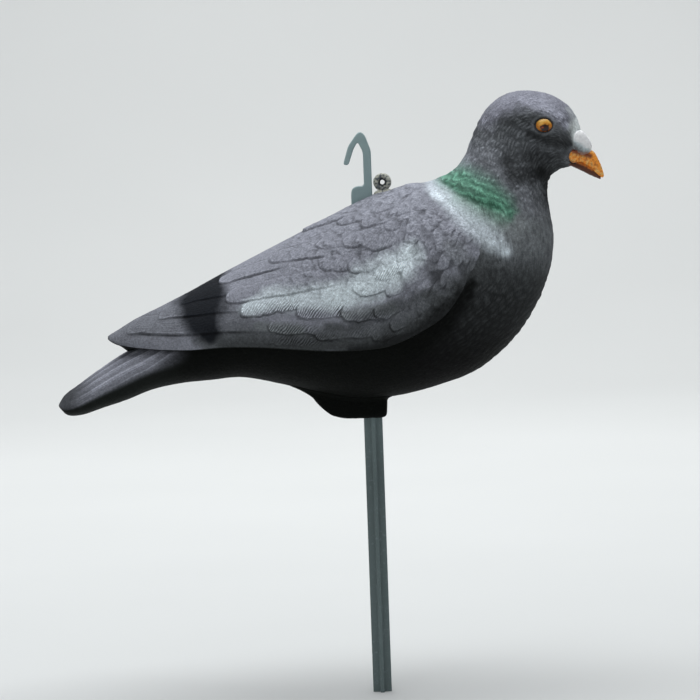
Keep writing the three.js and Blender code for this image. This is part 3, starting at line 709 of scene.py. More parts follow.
def body_relief():
    """Height of the carving over the body in millimetres, with masks of its hollows and rims."""
    points = BODY_BASE
    px, py = side_view(points)
    # Lengths over the skin: s from the face backwards, u from the back's middle down each side.
    steps = np.linalg.norm(np.diff(points, axis=0), axis=2)
    s = np.pad(np.cumsum(steps[::-1], axis=0)[::-1], ((0, 1), (0, 0)))
    sides = np.linalg.norm(np.diff(points[:, : BODY_SIDES // 2 + 1], axis=1), axis=2)
    half = np.pad(np.cumsum(sides, axis=1), ((0, 0), (1, 0)))
    u = np.concatenate([half, half[:, -2:0:-1]], 1)
    wave = noise(points, 11.0, 21)
    bumps = mottle(points)

    head = step(py, 225, 190) * step(px, 452, 474) * step(px, 580, 564)
    crown = step(py, 122, 104)
    bent = 1.6 * noise(points, 5.0, 24)
    cheek = dashes(s + 0.5 * u + bent, u + 1.3 * wave + bent, *HEAD_DASH, 31) - 0.36
    cheek = cheek * (0.75 + 0.6 * noise(points, 4.0, 25)) + 0.22 * noise(points * (0.5, 1, 1.3), 3.2, 26)
    nape = patch(px, py, NAPE, 0.6)
    below_eye = step(py, 132, 142) * step(px, 530, 548) * step(py, 160, 152)
    level = 1.1 * cheek * head * (1 - 0.6 * crown) * (1 - 0.5 * below_eye) * (1 - 0.8 * nape)
    level += 0.3 * crown * head * (dashes(u, s + 0.8 * wave, *CROWN_DASH, 33) - 1.2)
    breast = step(py, 262, 285) * step(px, 380, 425)
    x, y, z = np.moveaxis(points, -1, 0)
    slant, over = 0.8 * x + 0.6 * z, -0.6 * x + 0.8 * z + 1.5 * wave
    level += 0.8 * (dashes(slant, over, *BREAST_DASH, 41) - 0.35) * breast * (1 - 0.75 * step(py, 345, 380))
    neck = step(py, 190, 215) * step(px, 470, 500) * (1 - breast)
    level += 0.3 * bumps * neck
    mantle = step(px, 380, 425) * step(py, 180, 200) * (1 - step(px, 490, 515)) * (1 - step(py, 290, 320))
    tiles = scales(1.6 * bent - s, u + bent, *MANTLE_SCALE, 51) - SCALE_MEAN
    level += (0.55 * tiles + 0.16 * bumps) * mantle
    row = (py - 0.34 * px + 4 * noise(points, 8.0, 22) + 3 * noise(points, 3.6, 23)) / SCALLOP
    scallop = row - np.floor(row)
    level += 1.5 * nape * (scallop - 1.15 * step(scallop, 0.72, 1.0) - 0.3) * (0.55 + 0.45 * noise(points, 5.0, 27))
    cut, lip = creased(px, py)
    level += breast * (0.3 * lip - 0.6 * cut)

    station = BODY_T[:, None]
    tail = step(station, 0.6, 2.2) * (1 - step(station, 6.4, 7.6))
    ridge_place = u / TAIL_RIDGE + 0.12 * np.sin(s / 37) + 0.06 * wave
    ridge_place -= np.floor(ridge_place)
    ridge = (1 - ridge_place) * step(ridge_place, 0, 0.14)
    upper = step(BODY_HEIGHT, 0.36, 0.5)
    level += 0.6 * (ridge - 0.7) * tail * upper * step(px, 70, 95)
    level += 0.08 * np.sin(2 * math.pi * u / TAIL_LINE) * tail * upper

    level *= 1 - 0.7 * patch(px, py, COLLAR_TOP, 0.8)
    eye = eye_distance(points)
    at_eye = step(px, 500, 515) * step(py, 150, 143) * step(np.abs(y), 9, 14)
    level *= 1 - at_eye * (1 - step(eye, 1.2, 1.7))
    level += at_eye * (-1.3 * (1 - step(eye, 0.88, 1.12)) + 0.4 * bell(eye, 1.25, 0.13))
    level += 0.45 * (patch(px, py, BROW) * at_eye + patch(px, py, CERE_SEAT, 0.9))
    level += 0.1 * (noise(points, 1.6, 61) - 1) * step(station, 0, 1.5)

    carved = np.clip(head * (1 - 0.75 * crown) + breast + neck + mantle + nape + tail * upper, 0, 1)
    # Recesses of the carving darkened in the colour: dark paint left in them, together with painted shade.
    hollow = 0.7 * np.clip(-level / 0.3, 0, 1) * carved
    # Dark line round the eye, heaviest at its top: eye-ring paint with painted shade under the brow.
    lid = bell(eye, 1.02, 0.08) * (0.7 + 0.6 * step(z, EYE[2] - 2, EYE[2] + 3))
    hollow = np.clip(hollow + at_eye * lid, 0, 1)
    rims = np.clip(level / 0.3, 0, 1) * carved * (1 - at_eye * (1 - step(eye, 1.4, 1.7)))
    rims *= 1 - 0.4 * head * (1 - nape) - 0.35 * breast
    return level, hollow, rims


def body_piece():
    relief, hollow, rims = body_relief()
    colour = tail_paint(BODY_BASE, bird_paint(BODY_BASE, False), BODY_HEIGHT)
    add_tube("painted_body", raised(BODY_BASE, relief), BIRD, paint=colour, hollow=hollow, rim=rims)


def sunk(points, share, reach, sink):
    """Moves points down towards the body's skin by a share of their height, and eases them onto it within reach."""
    heights, normals = height_over_body(points)
    lower = np.where(heights > 0, heights * (1 - share), heights) - 1.5 * share
    k = np.maximum(reach, 1e-3)
    near = np.clip(k - np.abs(lower), 0, None) ** 2 / (4 * k)
    eased = np.maximum(lower, 0) + near + np.minimum(lower + k, 0) - sink * (1 - step(lower, -k, 0.3 * k))
    eased = np.where(k > 0.05, eased, lower)
    return points + normals * (eased - heights)[..., None]


def wing_pieces():
    x = np.broadcast_to(WING_X[:, None], GIRTH.shape)
    upper = step(GIRTH, 15, 70)
    share = step(x, 140, 206) * upper + step(x, 176, 208) * (1 - upper)
    reach = 8 * step(x, 70, 170) * upper + 3 * step(x, 172, 202) * (1 - upper)
    near = WING_X > SHOULDER_START
    skin, inside = WING_SKIN.copy(), WING_INSIDE.copy()
    skin[near] = sunk(skin[near], share[near], reach[near], 0.45)
    rim_share = np.broadcast_to(step(WING_X, 172, 206)[:, None], inside.shape[:2])
    inside[near] = sunk(inside[near], rim_share[near], 0 * rim_share[near], 0)

    girth = GIRTH * UNIT
    px, py = side_view(skin)
    bent = 1.6 * noise(skin, 5.0, 24)
    places = 0.9 * skin[..., 0] + 0.42 * girth + 1.6 * bent, 0.9 * girth - 0.42 * skin[..., 0] + bent
    tiles = scales(*places, *WING_SCALE, 52) - SCALE_MEAN
    shoulder = step(x, 10, 90) * (scales(*places, *SHOULDER_SCALE, 53) - 0.5)
    rough = 1.1 * tiles + 0.35 * mottle(skin) + 1.8 * shoulder
    rough *= 1 - 0.75 * patch(px, py, COLLAR_TOP, 0.8)
    fade = 1 - step(x, 128, 186)
    middle = step(WING_SKIN[..., 1], 0, 4.6)
    deep = np.max([patch(px, py, line, 0.8) for line in BARBED], axis=0)
    gain = BARB_GAIN * np.where(x < BAR_END, 1, 0.28 + 0.72 * deep)
    barbs = np.sin(2 * math.pi * BARB_PHASE / BARB_PITCH) * gain
    relief = (RELIEF_MAP - GROOVE_DEPTH * GROOVE_MAP + BARB_HEIGHT * barbs) * fade * middle
    high = np.maximum(step(GIRTH, 60, 120) * step(x, -230, -90), np.maximum(step(x, 30, 100), 1 - fade))
    relief += (0.42 + 0.25 * step(x, 20, 90)) * high * rough * middle
    relief += 0.1 * (noise(skin, 1.6, 62) - 1)
    grid = np.concatenate([skin + grid_normals(skin, False) * relief[..., None], inside], 1)

    def over_all(values):
        """Values at the skin's points, and 0 inside."""
        return np.pad(values, ((0, 0), (0, inside.shape[1])))

    # Pits of the shoulder's texture go into the hollow mask as painted shade; tops go into the rim mask.
    pits, tops = (0.8 * np.clip(side * rough / 0.5, 0, 1) * high for side in (-1, 1))
    maps = dict(
        paint=np.concatenate([bird_paint(skin, True), np.broadcast_to(COAL, inside.shape)], 1),
        hollow=over_all(np.maximum(GROOVE_MAP * fade, pits)),
        rim=over_all(np.maximum(RIM_MAP * fade, 0.6 * tops)),
        barb=over_all(BARB_PHASE),
        barb_gain=over_all(gain * fade),
    )
    add_tube("left_wing", grid, BIRD, **maps)
    add_tube("right_wing", grid * (1, -1, 1), BIRD, flipped=True, **maps)


# Materials


def feed(tree, socket, value):
    """Links a socket to another one, or sets its value."""
    if isinstance(value, bpy.types.NodeSocket):
        tree.links.new(value, socket)
    else:
        socket.default_value = value


def material(name):
    made = bpy.data.materials.new(name)
    made.use_nodes = True
    tree = made.node_tree
    tree.nodes.clear()
    output = tree.nodes.new("ShaderNodeOutputMaterial")
    shader = tree.nodes.new("ShaderNodeBsdfPrincipled")
    tree.links.new(shader.outputs["BSDF"], output.inputs["Surface"])
    return made, tree, shader


def node(tree, kind, inputs, **settings):
    """Outputs of a new node with the given inputs, by name or number, and settings."""
    made = tree.nodes.new("ShaderNode" + kind)
    for key, value in settings.items():
        setattr(made, key, value)
    for key, value in inputs.items():
        feed(tree, made.inputs[key], value)
    return made.outputs


def ramp(tree, factor, low, high, dark, light):
    """Greys from dark at low to light at high."""
    ends = {"From Min": low, "From Max": high, "To Min": dark, "To Max": light}
    return node(tree, "MapRange", {"Value": factor, **ends})["Result"]


def grain(tree, scale, detail, roughness=0.6):
    """Noise in object space: scale in features per metre."""
    place = node(tree, "TexCoord", {})["Object"]
    return node(tree, "TexNoise", {"Vector": place, "Scale": scale, "Detail": detail, "Roughness": roughness})["Fac"]


def blended(tree, factor, first, second, mode="MIX"):
    """Two colours blended by a factor."""
    return node(tree, "Mix", {0: factor, 6: first, 7: second}, data_type="RGBA", blend_type=mode)[2]


def times(tree, colour, factor):
    """A colour multiplied by a number."""
    shade = node(tree, "CombineColor", {part: factor for part in ("Red", "Green", "Blue")})["Color"]
    return blended(tree, 1.0, colour, shade, "MULTIPLY")


def maths(tree, operation, *values):
    return node(tree, "Math", dict(enumerate(values)), operation=operation)[0]


def mapped(tree, name, kind="Fac"):
    """A mesh attribute as a number or as a Color."""
    return node(tree, "Attribute", {}, attribute_name=name)[kind]


def finish_shader(tree, shader, colour, roughness, height, distance, strength):
    """Colour, roughness and bump: the height's full range stands for a distance in metres."""
    normal = node(tree, "Bump", {"Height": height, "Distance": distance, "Strength": strength})["Normal"]
    for key, value in (("Base Color", colour), ("Roughness", roughness), ("Normal", normal)):
        feed(tree, shader.inputs[key], value)


def bird_material():
    made, tree, shader = material("matte_bird_paint")
    pebble, speck, cloud = grain(tree, 620, 3, 0.62), grain(tree, 1700, 2), grain(tree, 120, 3)
    phase = maths(tree, "MULTIPLY", mapped(tree, "barb"), 2 * math.pi / BARB_PITCH)
    barbs = maths(tree, "MULTIPLY", maths(tree, "SINE", phase), mapped(tree, "barb_gain"))
    light = maths(tree, "MULTIPLY", mapped(tree, "rim"), ramp(tree, pebble, 0.35, 0.6, 0.15, 0.75))
    # Hollows darkened: dark paint in recesses, and painted shade in grooves and under feather edges.
    shade = maths(tree, "MULTIPLY", mapped(tree, "hollow"), 0.62)
    colour = mapped(tree, "paint", "Color")
    for factor in (
        ramp(tree, pebble, 0.32, 0.68, 0.78, 1.22),
        ramp(tree, speck, 0.3, 0.7, 0.8, 1.2),
        ramp(tree, cloud, 0.3, 0.7, 0.93, 1.07),
        ramp(tree, barbs, -1, 1, 0.35, 1.65),
        maths(tree, "ADD", 1.0, light),
        maths(tree, "SUBTRACT", 1.0, shade),
    ):
        colour = times(tree, colour, factor)
    height = maths(tree, "MULTIPLY", pebble, 0.9)
    for other, share in ((speck, 0.25), (barbs, 0.35)):
        height = maths(tree, "ADD", height, maths(tree, "MULTIPLY", other, share))
    shader.inputs["Specular IOR Level"].default_value = 0.08
    finish_shader(tree, shader, colour, ramp(tree, pebble, 0.3, 0.7, 0.62, 0.84), height, 0.0009, 0.8)
    return made


def plastic_material():
    made, tree, shader = material("stake_plastic")
    cloud = grain(tree, 90, 3)
    colour = blended(tree, cloud, (0.118, 0.164, 0.166, 1), (0.162, 0.215, 0.217, 1))
    # Lighter towards the top, most on the hook, darker low down: painted light from above.
    rise = node(tree, "SeparateXYZ", {"Vector": node(tree, "TexCoord", {})["Object"]})["Z"]
    colour = times(tree, colour, ramp(tree, rise, 0.15, 0.36, 0.85, 2.1))
    scuff = ramp(tree, grain(tree, 420, 5, 0.75), 0.56, 0.75, 0.0, 0.35)
    colour = blended(tree, scuff, colour, (0.42, 0.5, 0.5, 1))
    rough = ramp(tree, cloud, 0.3, 0.7, 0.36, 0.52)
    finish_shader(tree, shader, colour, rough, grain(tree, 1800, 3), 0.00012, 0.5)
    return made


def gloss_material(name, rough, grain_scale, relief, contrast):
    """Painted detail with its colours in the paint map."""
    made, tree, shader = material(name)
    speck = grain(tree, grain_scale, 4, 0.65)
    tint = ramp(tree, speck, 0.3, 0.7, 1 - contrast, 1 + contrast)
    colour = times(tree, mapped(tree, "paint", "Color"), tint)
    finish_shader(tree, shader, colour, ramp(tree, speck, 0.3, 0.7, rough - 0.06, rough + 0.1), speck, relief, 0.8)
    return made


BIRD = bird_material()
STAKE = plastic_material()
EYE_PAINT = gloss_material("eye_paint", 0.3, 900, 0.00015, 0.22)
BILL_PAINT = gloss_material("bill_paint", 0.5, 1100, 0.0005, 0.3)
CERE_PAINT = gloss_material("cere_paint", 0.66, 1300, 0.0005, 0.2)


# Bill: x and z of the upper edge, x and z of the lower edge, half width.
UPPER_BILL = [
    (359, 474, 357, 459, 36), (372, 473, 367, 456, 36), (382, 472, 376, 452.5, 33), (391, 471.5, 383.5, 450, 24),
    (402, 471, 389.5, 447.5, 18), (415, 467, 400.5, 442, 14), (422.5, 454, 410, 433.5, 11),
    (428, 441, 418.5, 425, 8), (431.5, 430, 425, 421, 4.5), (433, 422, 430, 419, 1.5),
]
LOWER_BILL = [
    (357, 463, 362, 447, 24), (375, 457, 377, 440.5, 17), (396, 449, 394, 432, 12), (411, 439, 408, 424.2, 9),
    (421, 429, 419, 419.2, 5.5), (427, 421, 426, 416, 2),
]
BILL_START, BILL_MIDDLE = 567.5, 156  # px in the side view
BILL_EDGE = (575.4, 166.2, 0.505)  # px, px and fall of the lower bill's lower edge
BILL_RINGS, BILL_SIDES = 120, 96


def signed_power(value, power):
    return np.sign(value) * np.abs(value) ** power


def bill_grid(stations):
    t = np.linspace(0, len(stations) - 1, BILL_RINGS)
    top_x, top_z, low_x, low_z, half = (column[:, None] for column in curve(stations, t).T)
    angle = full_turn(BILL_SIDES)
    power = 0.5 + 0.4 * step(t, 1, len(stations) - 2)[:, None]
    share = (1 + signed_power(np.cos(angle), power)) / 2
    x, z = low_x + (top_x - low_x) * share, low_z + (top_z - low_z) * share
    return np.stack([x, half * signed_power(np.sin(angle), power), z], 2) * UNIT + (0, 0, STAKE_RISE)


def laid_on_face(grid):
    """The root of the bill laid over the face as a thin skin that starts at a blunt end."""
    heights, normals = height_over_body(grid)
    px, py = side_view(grid)
    start = step(px - 0.03 * (py - BILL_MIDDLE) ** 2, BILL_START - 0.6, BILL_START + 1.2)
    near = (1 - step(px, 577, 586)) * step(heights, -3.4, -1.6) * (1 - step(np.abs(py - BILL_MIDDLE), 9, 12))
    wanted = -0.5 + start * (1.4 + np.clip(heights - 0.9, 0, 1))
    return grid + normals * (near * (wanted - heights))[..., None]


def bill_pieces():
    for name, stations in (("upper_bill", UPPER_BILL), ("lower_bill", LOWER_BILL)):
        grid = bill_grid(stations)
        if stations is UPPER_BILL:
            grid = laid_on_face(grid)
        px, py = side_view(grid)
        spots = noise(grid, 1.2, 74)
        # Painted shadow under the cere, across the bill's root.
        under_cere = patch(px, py, [(567, 149, 4.5), (578, 152, 5.5), (589, 156, 4)], 0.9)
        coats = [
            ((255, 212, 126), 0.7 * step(noise(grid, 1.6, 73), 0.0, 0.55)),
            ((190, 90, 28), 0.6 * step(spots, 0.15, 0.6)),
            ((120, 44, 16), 0.95 * under_cere),
        ]
        if stations is UPPER_BILL:
            # Painted shade in the mouth line.
            mouth = patch(px, py, [(566, 160, 3), (576, 164, 3), (588, 169, 3), (596, 177, 2.4)], 0.8)
            coats.append(((84, 32, 16), 0.45 * mouth))
        else:
            # The lower bill darker orange, most at its lower edge: painted shade.
            depth = depth_under(px, py, *BILL_EDGE) + 0.8 * spots
            coats += [((168, 74, 20), 0.6), ((78, 32, 12), 0.95 * step(depth, -4.8, -2.8))]
        relief = 0.128 * noise(grid, 1.1, 71) + 0.08 * noise(grid, 0.5, 72)
        add_tube(name, raised(grid, relief), BILL_PAINT, paint=coated(grid, (255, 160, 52), coats))


def lump_grid(centre, halves, turn, rings=44, sides=56):
    """Closed ellipsoid as rings along its long axis, which slopes down forward by turn."""
    t = np.linspace(0, math.pi, rings + 2)[1:-1][:, None]
    angle = full_turn(sides)
    x = -np.cos(t) * halves[0] + 0 * angle
    y = np.sin(t) * np.sin(angle) * halves[1]
    z = np.sin(t) * np.cos(angle) * halves[2]
    cos, sin = math.cos(turn), math.sin(turn)
    return np.stack([x * cos + z * sin, y, z * cos - x * sin], 2) + centre


# Ceres: the two lobes over the bill's root.
CERE_MIDDLE = (390.5 * UNIT, 0, STAKE_RISE + 482 * UNIT)
CERE_HALF = (25.5 * UNIT, 5.6, 18.5 * UNIT)
CERE_SLOPE = 0.99  # of its long axis, downwards to the front
CERE_ASIDE = 5.4  # millimetres from the bird's middle
CERE_SHADE = (581, 143, 0.55)  # px, px and fall of the line where its underside begins, below which painted shade greys it


def cere_pieces():
    for name, side in (("left_cere", 1), ("right_cere", -1)):
        grid = lump_grid(CERE_MIDDLE, CERE_HALF, CERE_SLOPE)
        forward, up = grid[..., 0] - CERE_MIDDLE[0], grid[..., 2] - CERE_MIDDLE[2]
        along = forward * math.cos(CERE_SLOPE) - up * math.sin(CERE_SLOPE)
        rearward = np.maximum(-forward * math.sin(CERE_SLOPE) - up * math.cos(CERE_SLOPE), 0)
        grid[..., 1] += side * (CERE_ASIDE - 0.3 * along + 0.42 * rearward)
        grid[..., 0] -= 0.35 * rearward * step(along, -3, 7)
        grid = sunk(grid, 0 * up, 4.4 + 1.6 * step(up, 0, 7), 0.25)
        px, py = side_view(grid)
        patchy = noise(grid, 1.7, 83)
        low = depth_under(px, py, *CERE_SHADE) + 2.2 * patchy
        # Greyer and darker below the shade line, brown at the lower edge: painted shade of the light from above.
        coats = [
            ((186, 199, 203), step(low, -1, 6)),
            ((104, 104, 104), step(low, 4, 9)),
            ((164, 120, 100), 0.8 * step(py + patchy, 150, 154)),
        ]
        relief = 0.34 * noise(grid, 2.2, 81) + 0.14 * noise(grid, 0.9, 82)
        add_tube(name, raised(grid, relief), CERE_PAINT, paint=coated(grid, (255, 255, 255), coats))


EYE_DEPTH = 3.3  # half of the eyeball's depth, of which EYE_PROUD stands out of its socket
EYE_PROUD = 1.1


def eye_pieces():
    for name, side in (("left_eye", 1), ("right_eye", -1)):
        centre = (EYE[0], side * (EYE[1] + EYE_PROUD - EYE_DEPTH), EYE[2])
        grid = lump_grid(centre, (EYE_HALF[0], EYE_DEPTH, EYE_HALF[1]), 0.0)
        points = closed(grid)
        x, z = points[:, 0] - EYE[0], points[:, 2] - EYE[2]
        spot = noise(points, 1.5, 91)
        pupil = np.hypot((x - 0.7) / 3.5, (z + 1.5) / 2.9) + 0.2 * spot
        # Painted highlight on the pupil.
        pupil_highlight = np.hypot((x + 0.9) / 0.9, (z + 1.4) / 0.6) + 0.3 * spot
        across, up = x / EYE_HALF[0], z / EYE_HALF[1]
        outline = np.hypot(across, up) + 0.06 * spot + 0.05 * np.clip(up, 0, 1) + 0.04 * np.clip(-across, 0, 1)
        colour = coated(points, (206, 128, 34), [
            ((226, 176, 82), step(z + 1.5 * spot, 0.4, 3.2)),
            ((134, 58, 20), 0.75 * step(1.3 * spot - z, 1.6, 3.8)),
            ((40, 10, 7), 1 - step(pupil, 0.8, 1.08)),
            ((176, 74, 26), 0.8 * (1 - step(pupil_highlight, 0.5, 1.1))),
            ((58, 34, 26), step(outline, 0.9, 0.97)),
        ])
        add_tube(name, grid, EYE_PAINT, paint=colour)


# Belly boss: height over its underside, rear end, front end and half width, all in millimetres.
BOSS = [
    (0, -17, 7.5, 10.2), (0.5, -21, 8.8, 11.6), (1.4, -25.2, 9.6, 12.6), (3.2, -30, 10.0, 13),
    (8, -35.9, 10.3, 13), (12, -39.5, 10.5, 13), (16.2, -43, 10.8, 13), (22, -52, 12, 13), (30, -66, 16, 13),
]
BOSS_SIDES = 120
BOSS_MIDDLE = (-6.0, 0, 0)
BOSS_CORNER = 4.0  # radius of its upright edges
BOSS_FILLET = 3.0  # radius where it runs into the belly
SOCKET = 6.85  # radius of the hole for the ribs
SOCKET_DEPTHS = (20, 12, 5, 1, 0.25)


def boss_loop(rise, rear, front, half):
    """Level outline of the boss with rounded corners."""
    angle = full_turn(BOSS_SIDES)
    cos, sin = np.cos(angle), np.sin(angle)
    x = np.sign(cos) * ((front - rear) / 2 - BOSS_CORNER) * np.minimum(1, np.abs(cos) * 3) + BOSS_CORNER * cos
    y = np.sign(sin) * (half - BOSS_CORNER) * np.minimum(1, np.abs(sin) * 1.6) + BOSS_CORNER * sin
    return np.stack([(rear + front) / 2 + x, y, np.full(BOSS_SIDES, STAKE_RISE + rise)], 1)


def boss_piece():
    grid = np.array([boss_loop(*row) for row in curve(BOSS, np.linspace(0, len(BOSS) - 1, 62))])
    heights, _ = height_over_body(grid)
    sideways = np.clip(BOSS_FILLET - heights, 0, BOSS_FILLET)
    flare = BOSS_FILLET - np.sqrt(np.clip(BOSS_FILLET**2 - sideways**2, 0, None))
    flare = np.where(heights < BOSS_FILLET, flare, 0) * (grid[..., 2] > STAKE_RISE + 4)
    outward = grid_normals(grid, True) * (1, 1, 0)
    outward *= np.sign(((grid - BOSS_MIDDLE) * outward).sum(-1))[..., None]
    grid = grid + outward * flare[..., None]
    turn = np.arctan2(grid[0, :, 1], grid[0, :, 0])
    hole = np.stack([SOCKET * np.cos(turn), SOCKET * np.sin(turn), np.full(BOSS_SIDES, STAKE_RISE)], 1)
    inner = [hole + (0, 0, depth) for depth in SOCKET_DEPTHS]
    lips = [hole + (grid[0] - hole) * share for share in (0.02, 0.08, 0.5)]
    grid = np.concatenate([inner, lips, grid])
    colour = np.broadcast_to(NEAR_BLACK * 1.15, grid.shape)
    add_tube("belly_boss", raised(grid, 0.1 * noise(grid, 2.0, 95)), BIRD, flipped=True, paint=colour)


# Ring on the back, in millimetres
EYELET_X, EYELET_Z = 31.5 * UNIT, STAKE_RISE + 425 * UNIT
EYELET_RING, EYELET_BAR = 3.95, 2.35  # radii
EYELET_SHAPE = (72, 32)  # points along the ring and round its bar


def eyelet_piece():
    turn, side = np.meshgrid(*map(full_turn, EYELET_SHAPE), indexing="ij")
    far = EYELET_RING + EYELET_BAR * np.cos(side)
    torus = np.stack([EYELET_X + far * np.cos(turn), EYELET_BAR * np.sin(side), EYELET_Z + far * np.sin(turn)], 2)
    normal = np.stack([np.cos(side) * np.cos(turn), np.sin(side), np.cos(side) * np.sin(turn)], 2)
    relief = 0.16 * noise(torus, 1.5, 97) + 0.1 * noise(torus, 0.7, 98)
    torus = torus + normal * relief[..., None]
    index = np.arange(turn.size).reshape(EYELET_SHAPE)
    ahead = np.roll(index, -1, 0)
    faces = np.stack([np.roll(index, -1, 1), np.roll(ahead, -1, 1), ahead, index], -1).reshape(-1, 4).tolist()
    foot = lump_grid((EYELET_X + 0.4, 0, EYELET_Z - 7.4), (6.6, 3.3, 2.6), -0.12, 24, 40)
    faces += [[i + index.size for i in face] for face in grid_faces(*foot.shape[:2])]
    points = np.concatenate([torus.reshape(-1, 3), closed(foot)])
    far = np.hypot(points[:, 0] - EYELET_X, points[:, 2] - EYELET_Z)
    worn = 0.85 * step(noise(points, 1.1, 99) + 0.2 * (far - 4.0), -0.3, 0.3)
    colour = mixed(np.broadcast_to(grey(112, 0.2), points.shape), linear(196, 196, 182), worn)
    # Darker round the hole: painted shade in its bore.
    add_piece("back_eyelet", points, faces, BIRD, paint=colour, hollow=1.3 * bell(far, 2.0, 1.1))


# Stake: four ribs below, a flat shaft with a locking tab and a hook above.
RIB_TOP = 238.65
RIB_REACH, RIB_HALF, RIB_ROUND, RIB_FILLET = 6.5, 1.4, 0.6, 0.8  # length and half width, then radii
SHAFT_HALF, SHAFT_ROUND = 2.5, 0.9  # half thickness and radius of the edges
# Outline of the shaft, up its front edge, round the hook and down its rear edge: x and z in millimetres.
SHAFT_OUTLINE = [
    (4.9, 233.05), (4.9, 380.4), (0.9, 391.6), (-2.4, 394.0), (-5.0, 392.0), (-10.9, 383.75), (-14.8, 371.0),
    (-11.0, 370.6), (-7.1, 381.85), (-4.08, 386.8), (-0.7, 379.4), (-0.7, 355.9), (-6.2, 355.9), (-9.2, 354.0),
    (-9.9, 350.4), (-9.9, 333.4), (-0.7, 324.2), (-0.7, 233.05),
]
SHAFT_BEND = 2.2  # how far each bend of the outline is rounded along both edges
QUARTER_TURN = np.array([[0, 1], [-1, 0]])


def arc(x, y, radius, start, end, count=5):
    angle = np.radians(np.linspace(start, end, count))
    return np.stack([x + radius * np.cos(angle), y + radius * np.sin(angle)], 1)


def rib_profile():
    """Cross of four ribs with rounded edges and fillets between them."""
    arms = [np.concatenate([
        arc(RIB_REACH - RIB_ROUND, RIB_ROUND - RIB_HALF, RIB_ROUND, -90, 0),
        arc(RIB_REACH - RIB_ROUND, RIB_HALF - RIB_ROUND, RIB_ROUND, 0, 90),
        arc(RIB_HALF + RIB_FILLET, RIB_HALF + RIB_FILLET, RIB_FILLET, 270, 180),
    ])]
    for _ in range(3):
        arms.append(arms[-1] @ QUARTER_TURN)
    return np.concatenate(arms)


def softened(corners, reach):
    """Closed outline with each corner rounded over a length reach along both edges."""
    line = []
    corners = [np.array(corner, float) for corner in corners]
    for i, at in enumerate(corners):
        before, after = corners[i - 1] - at, corners[(i + 1) % len(corners)] - at
        a = at + before * min(0.45, reach / np.linalg.norm(before))
        b = at + after * min(0.45, reach / np.linalg.norm(after))
        for t in np.linspace(0, 1, 6):
            line.append((1 - t) ** 2 * a + 2 * t * (1 - t) * at + t * t * b)
    return np.array(line)


def inset(line, distance):
    """A closed outline, drawn clockwise or not, moved inwards by a distance."""
    before = line - np.roll(line, 1, 0)
    after = np.roll(line, -1, 0) - line
    before /= np.linalg.norm(before, axis=1, keepdims=True)
    after /= np.linalg.norm(after, axis=1, keepdims=True)
    area = (line[:, 0] * np.roll(line[:, 1], -1) - np.roll(line[:, 0], -1) * line[:, 1]).sum()
    turn = QUARTER_TURN * np.sign(area)
    normal = (before + after) @ turn
    normal /= np.linalg.norm(normal, axis=1, keepdims=True)
    sharpness = np.clip((normal * (before @ turn)).sum(1), 0.5, 1)
    return line + normal * (distance / sharpness)[:, None]


def stake_piece():
    profile = rib_profile()
    rises = np.concatenate([[0, 0.3], np.linspace(4, 234, 47), [RIB_TOP - 0.4, RIB_TOP]])
    ribs = closed(np.array([np.column_stack([profile, np.full(len(profile), rise)]) for rise in rises]))
    faces = [face[::-1] for face in grid_faces(len(rises), len(profile))]
    line = softened(SHAFT_OUTLINE, SHAFT_BEND)
    rounds = [(math.sin(a), 1 - math.cos(a)) for a in np.linspace(math.pi / 2, 0, 6)]
    loops = [
        (SHAFT_HALF - SHAFT_ROUND + SHAFT_ROUND * y, SHAFT_ROUND * deep)
        for y, deep in [(1.0, 1.3), (1.0, 1.02)] + rounds
    ]
    loops += [(-y, deep) for y, deep in reversed(loops)]
    plate = [np.insert(inset(line, deep), 1, y, axis=1) for y, deep in loops]
    start, count = len(ribs), len(line)
    index = start + np.arange(len(plate) * count).reshape(-1, count)
    faces += quads_between(index) + [index[0].tolist(), index[-1, ::-1].tolist()]
    piece = add_piece("stake_and_hook", np.concatenate([ribs, *plate]), faces, STAKE, "stake", "ground_stake")
    work = bmesh.new()
    work.from_mesh(piece.data)
    bmesh.ops.recalc_face_normals(work, faces=work.faces)
    work.to_mesh(piece.data)
    work.free()


# Studio, in metres
FLOOR_HALF_WIDTH = 8
FLOOR_FRONT, FLOOR_BACK = -7, 2.5
SWEEP_RADIUS, BACKDROP_TOP = 2, 6
LAMPS = [  # name, place, aim, size, energy, colour
    ("sky", (-0.1, 0.1, 2.4), (0, 0, 0.3), 2.6, 74, (0.96, 0.98, 1.0)),
    ("front", (-1.2, -2.4, 1.5), (0, 0, 0.3), 1.6, 6, (1.0, 0.99, 0.97)),
    ("wash", (0, 1.9, 2.6), (0, 4.5, 0.6), 2.2, 60, (0.98, 0.99, 1.0)),
]
CAMERA_AIM, CAMERA_RISE, CAMERA_FAR = Vector((-0.0145, 0, 0.2414)), math.radians(4), 3.0
FILM, VIEW_WIDTH = 36, 0.49  # millimetres of film for so many metres at the aim


def facing(place, aim):
    return (Vector(aim) - Vector(place)).to_track_quat("-Z", "Y")


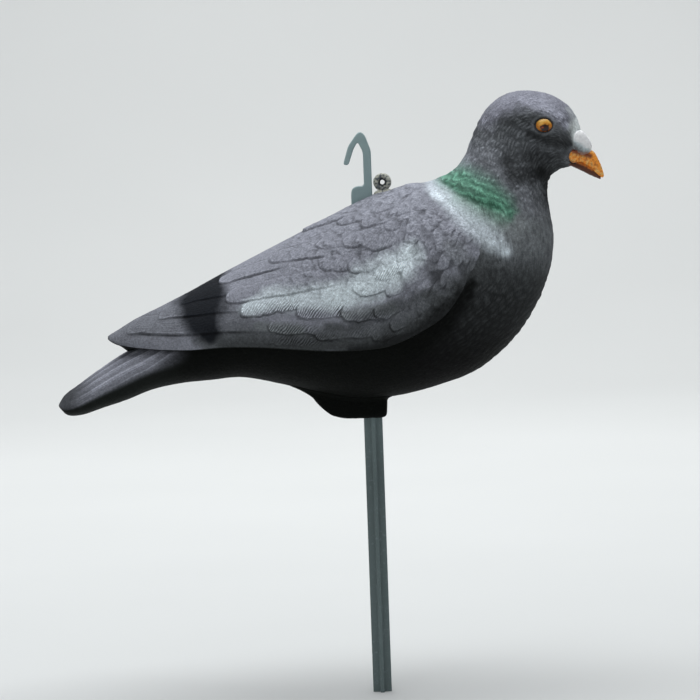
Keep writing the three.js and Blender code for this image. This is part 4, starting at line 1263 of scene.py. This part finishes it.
def studio():
    """Pale floor that sweeps up into a backdrop, soft light from above and a camera at the photo's angle."""
    made, tree, shader = material("pale_backdrop")
    pale = blended(tree, grain(tree, 1.5, 2), (0.62, 0.63, 0.62, 1), (0.68, 0.69, 0.68, 1))
    feed(tree, shader.inputs["Base Color"], pale)
    shader.inputs["Roughness"].default_value = 0.95
    sweep = arc(FLOOR_BACK, SWEEP_RADIUS, SWEEP_RADIUS, -90, 0, 25)
    profile = [(FLOOR_FRONT, 0), *sweep, (FLOOR_BACK + SWEEP_RADIUS, BACKDROP_TOP)]
    points = [(x, y, z) for x in (-FLOOR_HALF_WIDTH, FLOOR_HALF_WIDTH) for y, z in profile]
    count = len(profile)
    mesh = bpy.data.meshes.new("floor")
    mesh.from_pydata(points, [], [[i, i + 1, count + i + 1, count + i] for i in range(count - 1)])
    mesh.polygons.foreach_set("use_smooth", np.ones(count - 1, bool))
    mesh.materials.append(made)
    floor = linked("floor", mesh)

    for name, place, aim, size, energy, colour in LAMPS:
        light = bpy.data.lights.new(name, "AREA")
        light.shape, light.size, light.energy, light.color = "SQUARE", size, energy, colour
        lamp = linked(name, light)
        lamp.location = place
        lamp.rotation_euler = facing(place, aim).to_euler()
    world = bpy.data.worlds.new("studio")
    world.use_nodes = True
    background = world.node_tree.nodes["Background"].inputs
    background["Color"].default_value = (0.9, 0.94, 1.0, 1)
    background["Strength"].default_value = 0.2
    bpy.context.scene.world = world

    camera = linked("camera", bpy.data.cameras.new("camera"))
    camera.location = CAMERA_AIM + CAMERA_FAR * Vector((0, -math.cos(CAMERA_RISE), math.sin(CAMERA_RISE)))
    upright = facing(camera.location, CAMERA_AIM).to_matrix()
    camera.rotation_euler = (upright @ Matrix.Rotation(-LEAN, 3, "Z")).to_euler()
    camera.data.lens = FILM * CAMERA_FAR / VIEW_WIDTH
    bpy.context.scene.camera = camera
    bpy.context.scene.view_settings.view_transform = "Standard"


body_piece()
wing_pieces()
bill_pieces()
cere_pieces()
eye_pieces()
boss_piece()
eyelet_piece()
stake_piece()
studio()
